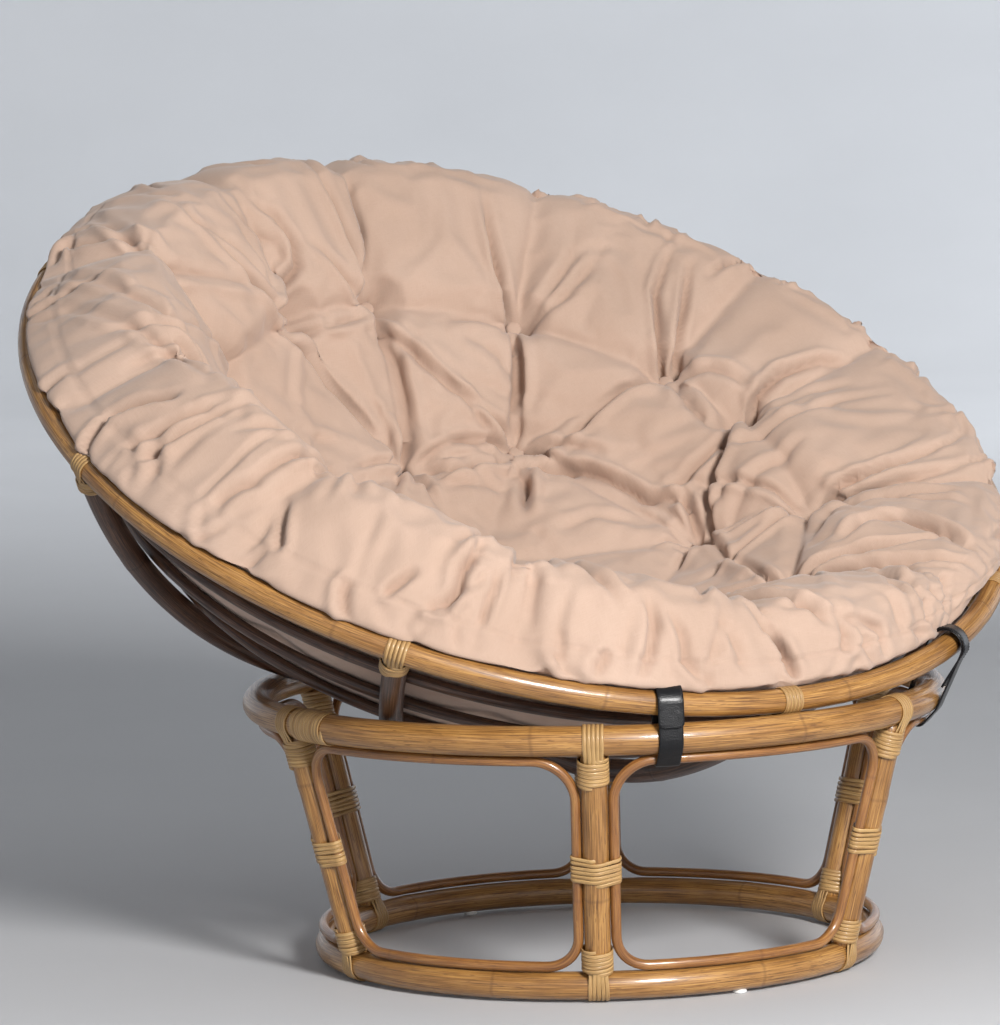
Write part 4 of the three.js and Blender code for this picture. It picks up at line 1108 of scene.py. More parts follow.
# From a tuft or free at both ends; depth and width in mm; pixels of the photograph along the fold
SEEN_FOLDS = [
    ("t", 12, 7, [(265, 323), (278, 292), (292, 267), (290, 243), (275, 216), (247, 192)]),
    ("t", 8, 7, [(364, 309), (344, 288), (320, 261), (300, 238)]),
    ("t", 13, 7, [(364, 309), (353, 264), (332, 199), (309, 166)]),
    ("t", 12, 6, [(368, 308), (364, 271), (364, 230), (352, 185), (332, 159)]),
    ("t", 7, 7, [(363, 317), (330, 328), (296, 333), (270, 333)]),
    ("t", 10, 7, [(376, 324), (409, 360), (464, 412), (502, 452), (511, 460)]),
    ("t", 9, 8, [(376, 328), (392, 360), (400, 402), (409, 443), (404, 478)]),
    ("t", 7, 7, [(402, 481), (385, 436), (364, 395)]),
    ("t", 12, 8, [(270, 333), (306, 360), (344, 402), (378, 440), (401, 479)]),
    ("t", 5, 8, [(273, 333), (316, 338), (364, 348)]),
    ("t", 13, 7, [(511, 317), (499, 278), (488, 226), (481, 188)]),
    ("t", 12, 7, [(516, 336), (519, 364), (519, 388), (513, 416), (512, 453)]),
    ("t", 4, 9, [(506, 324), (468, 319), (423, 329)]),
    ("t", 11, 8, [(504, 465), (475, 471), (433, 486), (406, 488)]),
    ("t", 5, 8, [(504, 462), (464, 447), (433, 443)]),
    ("t", 8, 8, [(516, 472), (523, 498), (525, 526)]),
    ("t", 6, 8, [(407, 490), (461, 496), (516, 496)]),
    ("f", 8, 9, [(261, 312), (234, 292), (175, 267), (134, 240), (89, 217)]),
    ("t", 7, 8, [(263, 319), (240, 298), (213, 254), (185, 219), (165, 199)]),
    ("f", 5, 9, [(254, 288), (230, 254), (192, 223), (151, 202)]),
    ("f", 8, 9, [(240, 395), (206, 360), (168, 319), (123, 292), (54, 278)]),
    ("f", 7, 9, [(213, 385), (182, 354), (134, 326), (58, 309)]),
    ("f", 5, 8, [(285, 271), (275, 243), (240, 219), (199, 185)]),
    ("f", 4, 8, [(261, 302), (258, 271), (234, 226)]),
    ("f", 13, 8, [(91, 433), (110, 416), (137, 405), (178, 399)]),
    ("f", 6, 8, [(165, 471), (199, 436), (240, 416), (261, 416)]),
    ("f", 6, 8, [(240, 488), (268, 460), (313, 447), (351, 453)]),
    ("f", 7, 7, [(149, 484), (158, 460), (154, 443), (172, 426)]),
    ("f", 5, 7, [(123, 471), (134, 450), (123, 433)]),
    ("f", 7, 7, [(213, 512), (220, 498), (240, 484), (261, 481)]),
    ("f", 6, 7, [(395, 519), (399, 505), (385, 491)]),
    ("t", 5, 7, [(524, 321), (547, 297), (572, 261), (576, 222)]),
    ("t", 5, 7, [(526, 326), (565, 299), (597, 261), (609, 229)]),
    ("t", 12, 6, [(665, 370), (659, 340), (655, 297), (667, 256), (679, 244)]),
    ("t", 12, 6, [(674, 370), (680, 333), (684, 297), (688, 269), (699, 254)]),
    ("t", 11, 8, [(659, 380), (622, 394), (594, 420), (563, 445), (528, 460)]),
    ("t", 7, 8, [(679, 378), (711, 376), (740, 385), (754, 401)]),
    ("t", 8, 8, [(676, 386), (690, 411), (708, 431), (731, 437)]),
    ("t", 13, 7, [(742, 426), (756, 402), (781, 374), (819, 358), (858, 355)]),
    ("t", 13, 8, [(733, 440), (726, 469), (712, 501), (707, 533), (704, 554)]),
    ("t", 9, 8, [(733, 440), (711, 460), (686, 486), (647, 504)]),
    ("t", 12, 8, [(524, 470), (583, 478), (619, 491), (645, 504), (686, 507), (704, 549)]),
    ("t", 8, 8, [(525, 476), (524, 501), (523, 529)]),
    ("f", 4, 9, [(554, 547), (594, 531), (640, 526)]),
    ("f", 4, 9, [(519, 390), (497, 358), (461, 340)]),
    ("t", 6, 8, [(744, 461), (761, 454), (797, 436), (840, 409), (895, 395)]),
    ("f", 5, 8, [(754, 429), (815, 394), (854, 387)]),
    ("f", 6, 10, [(811, 554), (833, 522), (883, 500), (954, 494)]),
    ("f", 12, 8, [(840, 559), (869, 538), (904, 529), (947, 536), (972, 551)]),
    ("f", 5, 9, [(726, 533), (761, 494), (815, 461)]),
    ("f", 8, 8, [(729, 592), (761, 582), (808, 585), (836, 615), (856, 651)]),
    ("f", 8, 8, [(740, 599), (772, 626), (792, 654), (797, 676)]),
    ("f", 7, 7, [(844, 615), (879, 629), (886, 658)]),
    ("f", 7, 8, [(865, 565), (895, 586), (915, 622)]),
    ("f", 7, 8, [(901, 563), (933, 590), (954, 615)]),
    ("f", 5, 8, [(783, 604), (811, 604), (829, 633)]),
    ("f", 12, 8, [(536, 542), (538, 576), (534, 604), (534, 631)]),
    ("f", 9, 7, [(648, 601), (655, 622), (651, 651), (640, 679)]),
    ("f", 9, 7, [(669, 611), (683, 636), (686, 661), (711, 686)]),
    ("f", 8, 7, [(563, 628), (563, 654), (547, 679)]),
    ("f", 7, 7, [(617, 642), (597, 665), (572, 685)]),
    ("f", 7, 8, [(486, 554), (461, 569), (456, 594)]),
    ("f", 6, 8, [(722, 619), (740, 651), (744, 672)]),
    ("f", 6, 8, [(783, 640), (794, 665), (790, 690)]),
]
print(len(TUFTS), "ties,", len(PILLOWS), "pillows and", len(SEEN_FOLDS), "folds listed")

# %% [markdown]
# A listed pixel becomes a place on the pad by a ray from the camera through it, and a tie's direction by a ray
# from the centre of the bowl's sphere. Both need a tree of the pad's faces to be cast at. Every other line
# runs between marks of the pad's outline, and needs no ray.

# %% Lines on the pad
smooth_skin = BVHTree.FromPolygons([Vector(p) for p in smooth_pad], pad_faces)
tufts = np.array([on_sphere(1, share * RIM_ANGLE, math.radians(turn)) for share, turn in TUFTS])
top_points = np.where(pad_mark < SEAM_PLACE)[0]
top_away = smooth_pad[top_points] / np.linalg.norm(smooth_pad[top_points], axis=1)[:, None]
tuft_marks = [float(pad_mark[top_points[np.argmax(top_away @ tuft)]]) for tuft in tufts]


def seen_point(pixel):
    """The spot of the smooth pad behind a pixel, in the bowl's frame."""
    x, y = pixel
    ray = camera.matrix_world.to_3x3() @ Vector((x - IMAGE_WIDTH_PX / 2, IMAGE_HEIGHT_PX / 2 - y, -FOCAL_PX))
    into = BOWL_FRAME.inverted()
    return smooth_skin.ray_cast(into @ camera.matrix_world.translation, into.to_3x3() @ ray.normalized())[0]


def run_on_pad(a, b, count=9):
    """A line on the pad between two (mark, azimuth) places."""
    t = np.linspace(0, 1, count)
    return pad_point(a[0] + (b[0] - a[0]) * t, a[1] + (b[1] - a[1]) * t)


def run_between(i, j, count=9):
    """A line on the pad from one tuft to another."""
    spots = []
    for t in np.linspace(0, 1, count):
        ray = Vector(tufts[i] * (1 - t) + tufts[j] * t).normalized()
        spots.append(smooth_skin.ray_cast(Vector((0, 0, 0)), ray)[0])
    return np.array(spots)


def valley_lines():
    """Broad valleys: depth at the start and at the end, and the line."""
    lines = []
    for k, i in enumerate(OUTER_TUFTS):
        azimuth = math.radians(TUFTS[i][1])
        lines.append((36 * MM, 13 * MM, run_on_pad((tuft_marks[i], azimuth), (SEAM_PLACE, azimuth), 13)))
        lines.append((28 * MM, 28 * MM, run_between(i, OUTER_TUFTS[(k + 1) % len(OUTER_TUFTS)])))
        near = sorted(INNER_TUFTS, key=lambda j: -float(tufts[i] @ tufts[j]))
        lines.append((28 * MM, 24 * MM, run_between(i, near[0])))
    for k, i in enumerate(INNER_TUFTS):
        lines.append((22 * MM, 22 * MM, run_between(i, INNER_TUFTS[(k + 1) % len(INNER_TUFTS)])))
        lines.append((16 * MM, 12 * MM, run_between(i, 0)))
    return lines


def fold_lines():
    """Sharp folds: kind, depth, width and line. Kind t starts at a tuft or a seam, f fades at both ends."""
    folds = []
    for kind, depth, width, pixels in SEEN_FOLDS:
        spots = [p for p in (seen_point(pixel) for pixel in pixels) if p is not None]
        if len(spots) > 1:
            folds.append((kind, depth * MM, width * MM, np.array(spots)))
    seen = len(folds)
    rng = random.Random(FOLD_SEED)
    for i in OUTER_TUFTS:
        turn = TUFTS[i][1]
        if SEEN_AZIMUTHS[0] < turn < SEEN_AZIMUTHS[1]:
            continue
        for lean in (-11, -6, -2, 3, 7, 12):
            end = (rng.uniform(4.9, 5.6), math.radians(turn + lean + rng.uniform(-2, 2)))
            start = (tuft_marks[i], math.radians(turn + 0.1 * lean))
            folds.append(("t", rng.uniform(9, 18) * MM, rng.uniform(5, 8) * MM, run_on_pad(start, end)))
        for lean in (-25, 0, 24):
            end = (rng.uniform(2.9, 3.4), math.radians(turn + lean + rng.uniform(-5, 5)))
            start = (tuft_marks[i], math.radians(turn))
            folds.append(("t", rng.uniform(7, 12) * MM, rng.uniform(5, 8) * MM, run_on_pad(start, end)))
    for i in INNER_TUFTS:
        turn = TUFTS[i][1]
        for lean in range(0, 360, 60):
            a = math.radians(lean + rng.uniform(-14, 14))
            reach = rng.uniform(0.6, 1.0)
            mark = tuft_marks[i] + reach * math.cos(a)
            wide = max(0.35, math.sin(TUFTS[i][0] * RIM_ANGLE) * 2)
            azimuth = math.radians(turn) + reach * math.sin(a) * 0.6 / wide
            start = (tuft_marks[i], math.radians(turn))
            line = run_on_pad(start, (mark, azimuth))
            folds.append(("t", rng.uniform(5, 9) * MM, rng.uniform(5, 7) * MM, line))
    azimuth = 0.0
    while azimuth < 360:
        for side in (-1, 1):
            a = math.radians(azimuth + rng.uniform(-1.5, 1.5))
            reach = rng.uniform(0.25, 1.0)
            depth = rng.choice((2, 3.5, 5, 9))
            lean = rng.uniform(-0.09, 0.09)
            line = run_on_pad((SEAM_PLACE + side * 0.04, a), (SEAM_PLACE + side * reach, a + lean), 7)
            folds.append(("t", depth * MM, rng.uniform(4.5, 7.5) * MM, line))
        azimuth += rng.choice((3.1, 4.6, 6.4, 8.8, 11.5))
    print(seen, "folds seen,", len(folds) - seen, "added")
    return folds


# %% [markdown]
# Each valley and fold needs to know how far every point of the pad is from it. `distance_to_line` gives that,
# how far along the line the nearest spot lies, and on which side of it. A fold of real cloth leans over, so
# it is a groove with a tall lip on one side and a low one on the other.

# %% Pull in the tufts, the valleys and the pillows
TUFT_DEPTH, TUFT_SPREAD = 36 * MM, 42 * MM
UNDER_TUFT_DEPTH, UNDER_TUFT_SPREAD = 9 * MM, 60 * MM
VALLEY_WIDTH, VALLEY_REACH, VALLEY_SAG_SHARE = 28 * MM, 150 * MM, 0.35
PUFF, PUFF_END_MARK, PUFF_FADE = 12 * MM, 5.1, 0.8
PILLOW_END_MARK, VALLEY_END_MARK, UNDERSIDE_MARK = 6.2, 6.6, 7
PAD_MIDDLE_R = 515 * MM


def distance_to_line(points, line):
    """For each point: its distance from the line, the share of the line's length there, and the side."""
    best, where, side = np.full(len(points), 9.0), np.zeros(len(points)), np.ones(len(points))
    run, total = 0.0, np.linalg.norm(np.diff(line, axis=0), axis=1).sum()
    for a, b in zip(line, line[1:]):
        ahead = b - a
        length = np.linalg.norm(ahead)
        if length < 1e-6:
            continue
        t = np.clip((points - a) @ ahead / length ** 2, 0, 1)
        off = points - a - t[:, None] * ahead
        gap = np.linalg.norm(off, axis=1)
        nearer = gap < best
        best[nearer] = gap[nearer]
        where[nearer] = (run + t[nearer] * length) / total
        side[nearer] = np.sign(off[nearer] @ np.cross(ahead, a))
        run += length
    return best, where, side


def near_box(points, line, reach):
    """Which points may lie within reach of a line."""
    low, high = line.min(axis=0) - reach, line.max(axis=0) + reach
    return np.where(np.all((points > low) & (points < high), axis=1))[0]


def point_normals(points, faces):
    quads = points[np.array(faces)]
    across = np.cross(quads[:, 2] - quads[:, 0], quads[:, 3] - quads[:, 1])
    normals = np.zeros_like(points)
    for corner in range(4):
        np.add.at(normals, np.array(faces)[:, corner], across)
    return normals / np.linalg.norm(normals, axis=1)[:, None]


def tufted_pad():
    """The pad with its tufts, valleys and pillows, and how far each point is from a tuft."""
    top = pad_mark < SEAM_PLACE
    away = smooth_pad / np.linalg.norm(smooth_pad, axis=1)[:, None]
    near = np.full(len(smooth_pad), 9.0)
    for tuft in tufts:
        near = np.minimum(near, PAD_MIDDLE_R * np.arccos(np.clip(away @ tuft, -1, 1)))
    pull = np.where(top, TUFT_DEPTH * np.clip(1 - near / TUFT_SPREAD, 0, 1) ** 1.3, 0.0)
    under = pad_mark > UNDERSIDE_MARK
    pull += UNDER_TUFT_DEPTH * np.clip(1 - near / UNDER_TUFT_SPREAD, 0, 1) ** 2 * under
    valley = np.zeros(len(smooth_pad))
    for start, end, line in valley_lines():
        chosen = near_box(smooth_pad, line, VALLEY_REACH)
        chosen = chosen[pad_mark[chosen] < VALLEY_END_MARK]
        gap, where, _ = distance_to_line(smooth_pad[chosen], line)
        sag = 4 * (min(start, end) * VALLEY_SAG_SHARE) * where * (1 - where)
        depth = start + (end - start) * where - sag
        valley[chosen] = np.maximum(valley[chosen], depth * np.exp(-gap / VALLEY_WIDTH))
    rise = PUFF * np.clip((PUFF_END_MARK - pad_mark) / PUFF_FADE, 0, 1)
    for azimuth, mark, height, spread in PILLOWS:
        middle = pad_point(mark, math.radians(azimuth))
        far = np.linalg.norm(smooth_pad - middle, axis=1)
        pillow = height * MM * np.exp(-(far / (spread * MM)) ** 2)
        rise += np.where(pad_mark < PILLOW_END_MARK, pillow, 0.0)
    return smooth_pad - point_normals(smooth_pad, pad_faces) * (pull + valley - rise)[:, None], near


tufted, tuft_gap = tufted_pad()

# %% [markdown]
# ### The cover's slack
#
# The cloth simulation starts from the tufted shape. The ties hold it fast, the stuffing holds the rest
# softly where it is, and a little pressure puffs it out. Its cloth is a few per cent larger than the shape,
# so it wrinkles as a loose cover does. What a point may move is capped, so the pad keeps its size.

# %% Cloth simulation
SLACK_SHARE, FILL_PRESSURE, MOST_MOVE = 0.03, 2.0, 16 * MM
SIM_FRAMES = 16
# How firmly each part is held, from 0 to 1
STUFFING_HOLD, UNDERSIDE_HOLD, SEAM_HOLD, TUFT_HOLD, TUFT_HOLD_R = 0.2, 0.5, 0.6, 1, 9 * MM


def mesh_points(mesh):
    flat = np.empty(len(mesh.vertices) * 3, np.float32)
    mesh.vertices.foreach_get("co", flat)
    return flat.reshape(-1, 3).astype(float)


def settled_cover(points, hold):
    """The cover after its cloth has settled; `hold` is how firmly each point is held, 0 to 1."""
    cover = mesh_object("cover_sim", points.tolist(), [], pad_faces)
    group = cover.vertex_groups.new(name="held")
    for level in np.unique(np.round(hold, 2)):
        if level > 0:
            group.add(np.where(np.round(hold, 2) == level)[0].tolist(), float(level), "REPLACE")
    cloth = cover.modifiers.new("cloth", "CLOTH")
    settings = cloth.settings
    settings.quality = 6
    settings.mass = 0.25
    settings.tension_stiffness = settings.compression_stiffness = 25
    settings.shear_stiffness = 8
    settings.bending_stiffness = 5
    settings.tension_damping = settings.compression_damping = settings.shear_damping = 8
    settings.bending_damping = 0.6
    settings.air_damping = 3
    settings.shrink_min = -SLACK_SHARE
    settings.use_pressure = True
    settings.uniform_pressure_force = FILL_PRESSURE
    settings.vertex_group_mass = "held"
    settings.pin_stiffness = 1.0
    settings.effector_weights.gravity = 0
    cloth.collision_settings.use_collision = False
    cloth.point_cache.frame_start, cloth.point_cache.frame_end = 1, SIM_FRAMES
    scene = bpy.context.scene
    for frame_number in range(1, SIM_FRAMES + 1):
        scene.frame_set(frame_number)
    evaluated = cover.evaluated_get(bpy.context.evaluated_depsgraph_get())
    settled = mesh_points(evaluated.data)
    scene.frame_set(1)
    bpy.data.objects.remove(cover, do_unlink=True)
    move = settled - points
    far = np.linalg.norm(move, axis=1)
    print(f"the cover moved {far.mean() / MM:.1f} mm on average and {far.max() / MM:.1f} mm at most")
    return points + move * np.minimum(1, MOST_MOVE / np.maximum(far, 1e-9))[:, None]


hold = np.full(len(tufted), STUFFING_HOLD)
hold[pad_mark > UNDERSIDE_MARK] = UNDERSIDE_HOLD
hold[(tuft_gap < TUFT_HOLD_R) & (pad_mark < SEAM_PLACE)] = TUFT_HOLD
hold[seam_loop] = SEAM_HOLD
cover_points = settled_cover(tufted, hold)

# %% [markdown]
# ### The finished cover
#
# The settled cover is kept off the poles round it and gets one subdivision, which makes its mesh fine enough
# for sharp folds. Each new point needs to know where on the smooth pad it lies, so that is carried over from
# the points round it.

# %% Clear the poles and subdivide
POLE_CLEAR = 1.2 * MM
HOOP_HOLD, HOOP_GAP_REACH, BULGE_BETWEEN_HOOPS = 8 * MM, 22 * MM, 9 * MM
UNDERSIDE_ANGLE = math.radians(59)


def clear_of_poles(points):
    """Keeps points inside the hoops and the ribs, and off the rim."""
    points = points.copy()
    far = np.linalg.norm(points, axis=1)
    angle = np.arccos(np.clip(-points[:, 2] / far, -1, 1))
    gap_to_hoop = np.min([np.abs(angle - share * RIM_ANGLE) for share in HOOP_SHARES], axis=0) * PAD_SPHERE_R
    free = np.clip((gap_to_hoop - HOOP_HOLD) / HOOP_GAP_REACH, 0, 1)
    limit = PAD_SPHERE_R + BULGE_BETWEEN_HOOPS * free ** 1.5
    scale = np.where((angle < UNDERSIDE_ANGLE) & (far > limit), limit / far, 1)
    points *= scale[:, None]
    out = np.hypot(points[:, 0], points[:, 1])
    dx, dz = out - RIM_RING_R, points[:, 2] + RIM_DROP
    gap = np.hypot(dx, dz)
    need = RIM_POLE_R + POLE_CLEAR
    push = np.where(gap < need, need / np.maximum(gap, 1e-6), 1)
    new_out = RIM_RING_R + dx * push
    points[:, :2] *= (new_out / np.maximum(out, 1e-6))[:, None]
    points[:, 2] = -RIM_DROP + dz * push
    return points


def subdivided(name, points, faces):
    rough = mesh_object(name, points.tolist(), [], faces)
    smooth = rough.modifiers.new("smooth", "SUBSURF")
    smooth.levels = smooth.render_levels = 1
    evaluated = rough.evaluated_get(bpy.context.evaluated_depsgraph_get())
    fine = bpy.data.meshes.new_from_object(evaluated)
    bpy.data.objects.remove(rough, do_unlink=True)
    return fine


def mesh_edges(mesh):
    """The two ends of every edge, and the same the other way round."""
    pairs = np.array([tuple(edge.vertices) for edge in mesh.edges])
    return (pairs[:, 0], pairs[:, 1]), (pairs[:, 1], pairs[:, 0])


def carried_over(mesh, coarse_values):
    """A value of each coarse point, carried over to the subdivided mesh by averages of neighbours."""
    values = np.zeros((len(mesh.vertices), 3))
    count = np.zeros(len(mesh.vertices))
    n = len(coarse_values)
    values[:n], count[:n] = coarse_values, 1
    both_ways = mesh_edges(mesh)
    for _ in range(2):
        known = count > 0
        total, hits = np.zeros_like(values), np.zeros(len(values))
        for a, b in both_ways:
            chosen = known[a] & ~known[b]
            np.add.at(total, b[chosen], values[a[chosen]])
            np.add.at(hits, b[chosen], 1)
        new = hits > 0
        values[new] = total[new] / hits[new][:, None]
        count[new] = 1
    return values


cover_mesh = subdivided("cushion_cover", clear_of_poles(cover_points), pad_faces)
fine_points = mesh_points(cover_mesh)
fine_faces = [tuple(p.vertices) for p in cover_mesh.polygons]
fine_places = carried_over(cover_mesh, smooth_pad)
print(len(fine_points), "points in the cover")

# %% [markdown]
# Now the sharp folds are pressed in, and the seam: a narrow groove along the equator of the ball. The bowl's
# frame is left behind here, and the mesh stands in the room. How deep each fold is goes onto the mesh later,
# where the cotton's colour is darkened by it as painted shade in the folds.

# %% Press in the folds and the seam
SEAM_DEPTH = 2.0 * MM
FOLD_GAIN, FOLD_WIDTH_SHARE, FOLD_MOST = 1.5, 0.7, 18 * MM
# In widths of the fold: how far it reaches, and where its lip stands and how wide; then both lips' heights
FOLD_REACH, LIP_PLACE, LIP_WIDTH, TALL_LIP, LOW_LIP = 5, 2.3, 1.2, 0.55, 0.2


def fold_sink(places):
    """How deep the sharp folds press in at each place of the smooth pad."""
    sink = np.zeros(len(places))
    for kind, depth, width, line in fold_lines():
        width *= FOLD_WIDTH_SHARE
        reach = FOLD_REACH * width
        chosen = near_box(places, line, reach)
        gap, where, side = distance_to_line(places[chosen], line)
        fade = np.clip((1 - where) / 0.5, 0, 1) ** 0.8 if kind == "t" else np.sin(math.pi * where) ** 0.6
        lip = np.exp(-((gap - LIP_PLACE * width) / (LIP_WIDTH * width)) ** 2)
        lip *= np.where(side > 0, TALL_LIP, LOW_LIP)
        groove = (np.exp(-gap / width) - lip) * (gap < reach)
        sink[chosen] += FOLD_GAIN * depth * fade * groove
    return np.clip(sink, -FOLD_MOST / 2, FOLD_MOST)


def evened(mesh, values):
    """A value of each point, half of it taken from the points beside it, so that no fold is jagged."""
    total, hits = np.zeros(len(values)), np.zeros(len(values))
    for a, b in mesh_edges(mesh):
        np.add.at(total, b, values[a])
        np.add.at(hits, b, 1)
    return 0.5 * values + 0.5 * total / hits


def fine_seam(mesh):
    """The points along the seam of the subdivided mesh: the old ones, and a new one between each two."""
    order = {v: i for i, v in enumerate(seam_loop.tolist())}
    ends_of = {}
    for edge in mesh.edges:
        a, b = edge.vertices
        for at, beside in ((a, b), (b, a)):
            if at in order and beside >= len(smooth_pad):
                ends_of.setdefault(beside, []).append(order[at])
    between = {}
    for middle, ends in ends_of.items():
        if len(ends) == 2:
            i, j = sorted(ends)
            between[i if j - i == 1 else j] = middle
    return [v for start, i in order.items() for v in (start, between.get(i)) if v is not None]


fold_depth = evened(cover_mesh, fold_sink(fine_places))
fine_points -= point_normals(fine_points, fine_faces) * fold_depth[:, None]
fine_normals = point_normals(fine_points, fine_faces)
seam_line = fine_seam(cover_mesh)
fine_points[seam_line] -= fine_normals[seam_line] * SEAM_DEPTH
fine_points = clear_of_poles(fine_points)
room_points = in_bowl(fine_points)
cover_mesh.vertices.foreach_set("co", room_points.astype(np.float32).ravel())
cover_mesh.update()
for polygon in cover_mesh.polygons:
    polygon.use_smooth = True
print(len(cover_mesh.polygons), "faces,", len(seam_line), "points along the seam")

# %% [markdown]
# ### Cotton
#
# The cover is a plain matt cotton in a pale peach tone. Its threads run straight across the sheet it was cut
# from, so the weave follows a flat map of the pad that is stored on the mesh, not the room's axes. The tone
# drifts a little over a hand's width, and fine creases too small for the mesh are left to the bump. Where
# the folds are deep, shade is painted into the colour: the cotton turns a dark brown there.

# %% Material: cotton
def sheet_map():
    """Where each point lay on the flat sheet before it was sewn."""
    away = np.interp(pad_mark, marks, run_of)
    away = np.where(pad_mark > SEAM_PLACE, run_of[-1] - away, away)
    return np.stack([away * np.sin(pad_azimuth), -away * np.cos(pad_azimuth),
                     np.where(pad_mark > SEAM_PLACE, 1.0, 0.0)], axis=1)


def weave_group():
    tree, given, out = new_group("weave", [
        ("Thread", "NodeSocketFloat", 0.0006), ("Slub", "NodeSocketFloat", 0.012)],
        [("Height", "NodeSocketFloat"), ("Tone", "NodeSocketFloat")])
    place_on = place(tree, "ShaderNodeAttribute", attribute_name="sheet").outputs["Vector"]
    parts = place(tree, "ShaderNodeSeparateXYZ", {0: place_on}).outputs

    def threads(along, across):
        x = sum_of(tree, "DIVIDE", parts[along], given["Slub"])
        y = sum_of(tree, "DIVIDE", parts[across], given["Thread"])
        vector = place(tree, "ShaderNodeCombineXYZ", {0: x, 1: y, 2: parts[2]}).outputs[0]
        return place(tree, "ShaderNodeTexNoise", {"Vector": vector, "Scale": 1.0, "Detail": 2.0}).outputs["Fac"]

    both = sum_of(tree, "MAXIMUM", threads(0, 1), threads(1, 0))
    tree.links.new(both, out["Height"])
    tree.links.new(both, out["Tone"])
    return tree


weave = weave_group()


def cotton_material():
    material, tree, skin = shader("cotton")
    threads = use_group(tree, weave)
    coords = place(tree, "ShaderNodeTexCoord").outputs["Object"]
    drift = place(tree, "ShaderNodeTexNoise", {"Vector": coords, "Scale": 6.0, "Detail": 3.0}).outputs["Fac"]
    tone = ramp(tree, drift, [(0.35, (0.442, 0.31, 0.238)), (0.65, (0.49, 0.35, 0.274))])
    fine = ramp(tree, threads["Tone"], [(0.4, (0.9, 0.88, 0.86)), (0.62, (1, 1, 1))])
    tone = mixed(tree, 0.6, tone, fine, "MULTIPLY")
    # Painted shade: the deeper a fold, the more the cotton is mixed towards a dark brown
    deep = place(tree, "ShaderNodeAttribute", attribute_name="painted_fold_shade").outputs["Fac"]
    tone = mixed(tree, deep, tone, ramp(tree, drift, [(0.0, (0.27, 0.165, 0.115)), (1.0, (0.3, 0.185, 0.13))]))
    tree.links.new(tone, skin.inputs["Base Color"])
    creases = place(tree, "ShaderNodeTexNoise", {
        "Vector": coords, "Scale": 55.0, "Detail": 5.0, "Roughness": 0.55, "Distortion": 0.6}).outputs["Fac"]
    height = sum_of(tree, "MULTIPLY_ADD", threads["Height"], 0.12, creases)
    bump = place(tree, "ShaderNodeBump", {"Height": height, "Strength": 0.3, "Distance": 0.0012})
    tree.links.new(bump.outputs[0], skin.inputs["Normal"])
    rough = place(tree, "ShaderNodeMapRange", {"Value": threads["Tone"], "To Min": 0.82, "To Max": 0.95})
    tree.links.new(rough.outputs[0], skin.inputs["Roughness"])
    skin.inputs["Specular IOR Level"].default_value = 0.25
    skin.inputs["Sheen Weight"].default_value = 0.18
    skin.inputs["Sheen Roughness"].default_value = 0.5
    return material


cotton = cotton_material()

# %% [markdown]
# The flat map and the painted shade of the deep folds go onto the cover's points as attributes, because the
# cotton reads them there.

# %% The cover takes the pad's place
# Painted shade in the folds: how dark it gets at most, and at what share of the deepest fold it begins
FOLD_SHADE_DARKNESS, FOLD_SHADE_START = 0.95, 0.08
attribute = cover_mesh.attributes.new("sheet", "FLOAT_VECTOR", "POINT")
attribute.data.foreach_set("vector", carried_over(cover_mesh, sheet_map()).astype(np.float32).ravel())
painted_fold_shade = cover_mesh.attributes.new("painted_fold_shade", "FLOAT", "POINT")
shade = FOLD_SHADE_DARKNESS * np.clip(fold_depth / FOLD_MOST - FOLD_SHADE_START, 0, 1)
painted_fold_shade.data.foreach_set("value", shade.astype(np.float32))
cover_mesh.materials.append(cotton)
cover = bpy.data.objects.new("cushion_cover", cover_mesh)
bpy.context.scene.collection.objects.link(cover)
settle(cover, "cushion", "cushion_cotton", "cushion")
print("the cotton is darkened in", int((shade > 0).sum()), "of", len(shade), "points")

# %% [markdown]
# ### Buttons
#
# The ties end in flat buttons covered with the same cotton. One button is modelled, with a domed top and a
# rolled edge, and Geometry Nodes set it on the tufts, turned to the cover there. Three ties get no button.

# %% Buttons
BUTTON_R, BUTTON_HEIGHT, BUTTON_STAND = 9.5 * MM, 5 * MM, 1.5 * MM
TOP_SIDE_R, SPOT_ANGLE, SLOPE_ANGLE = 575 * MM, 0.022, 0.045


def button_object():
    outline = [(0.0, 1.0), (0.3, 0.985), (0.6, 0.92), (0.82, 0.78), (0.95, 0.55), (1.0, 0.3), (0.97, 0.08),
               (0.88, -0.1), (0.6, -0.25), (0.0, -0.3)]
    sides, verts, faces = 40, [], []
    verts.append((0, 0, BUTTON_HEIGHT))
    for r, z in outline[1:-1]:
        verts += [(BUTTON_R * r * math.cos(2 * math.pi * i / sides),
                   BUTTON_R * r * math.sin(2 * math.pi * i / sides), BUTTON_HEIGHT * z) for i in range(sides)]
    verts.append((0, 0, BUTTON_HEIGHT * -0.3))
    last = len(verts) - 1
    for i in range(sides):
        j = (i + 1) % sides
        faces.append((0, 1 + i, 1 + j))
        for ring in range(len(outline) - 3):
            a, b = 1 + ring * sides, 1 + (ring + 1) * sides
            faces.append((a + i, b + i, b + j, a + j))
        a = 1 + (len(outline) - 3) * sides
        faces.append((a + j, a + i, last))
    return mesh_object("button", verts, [], faces)


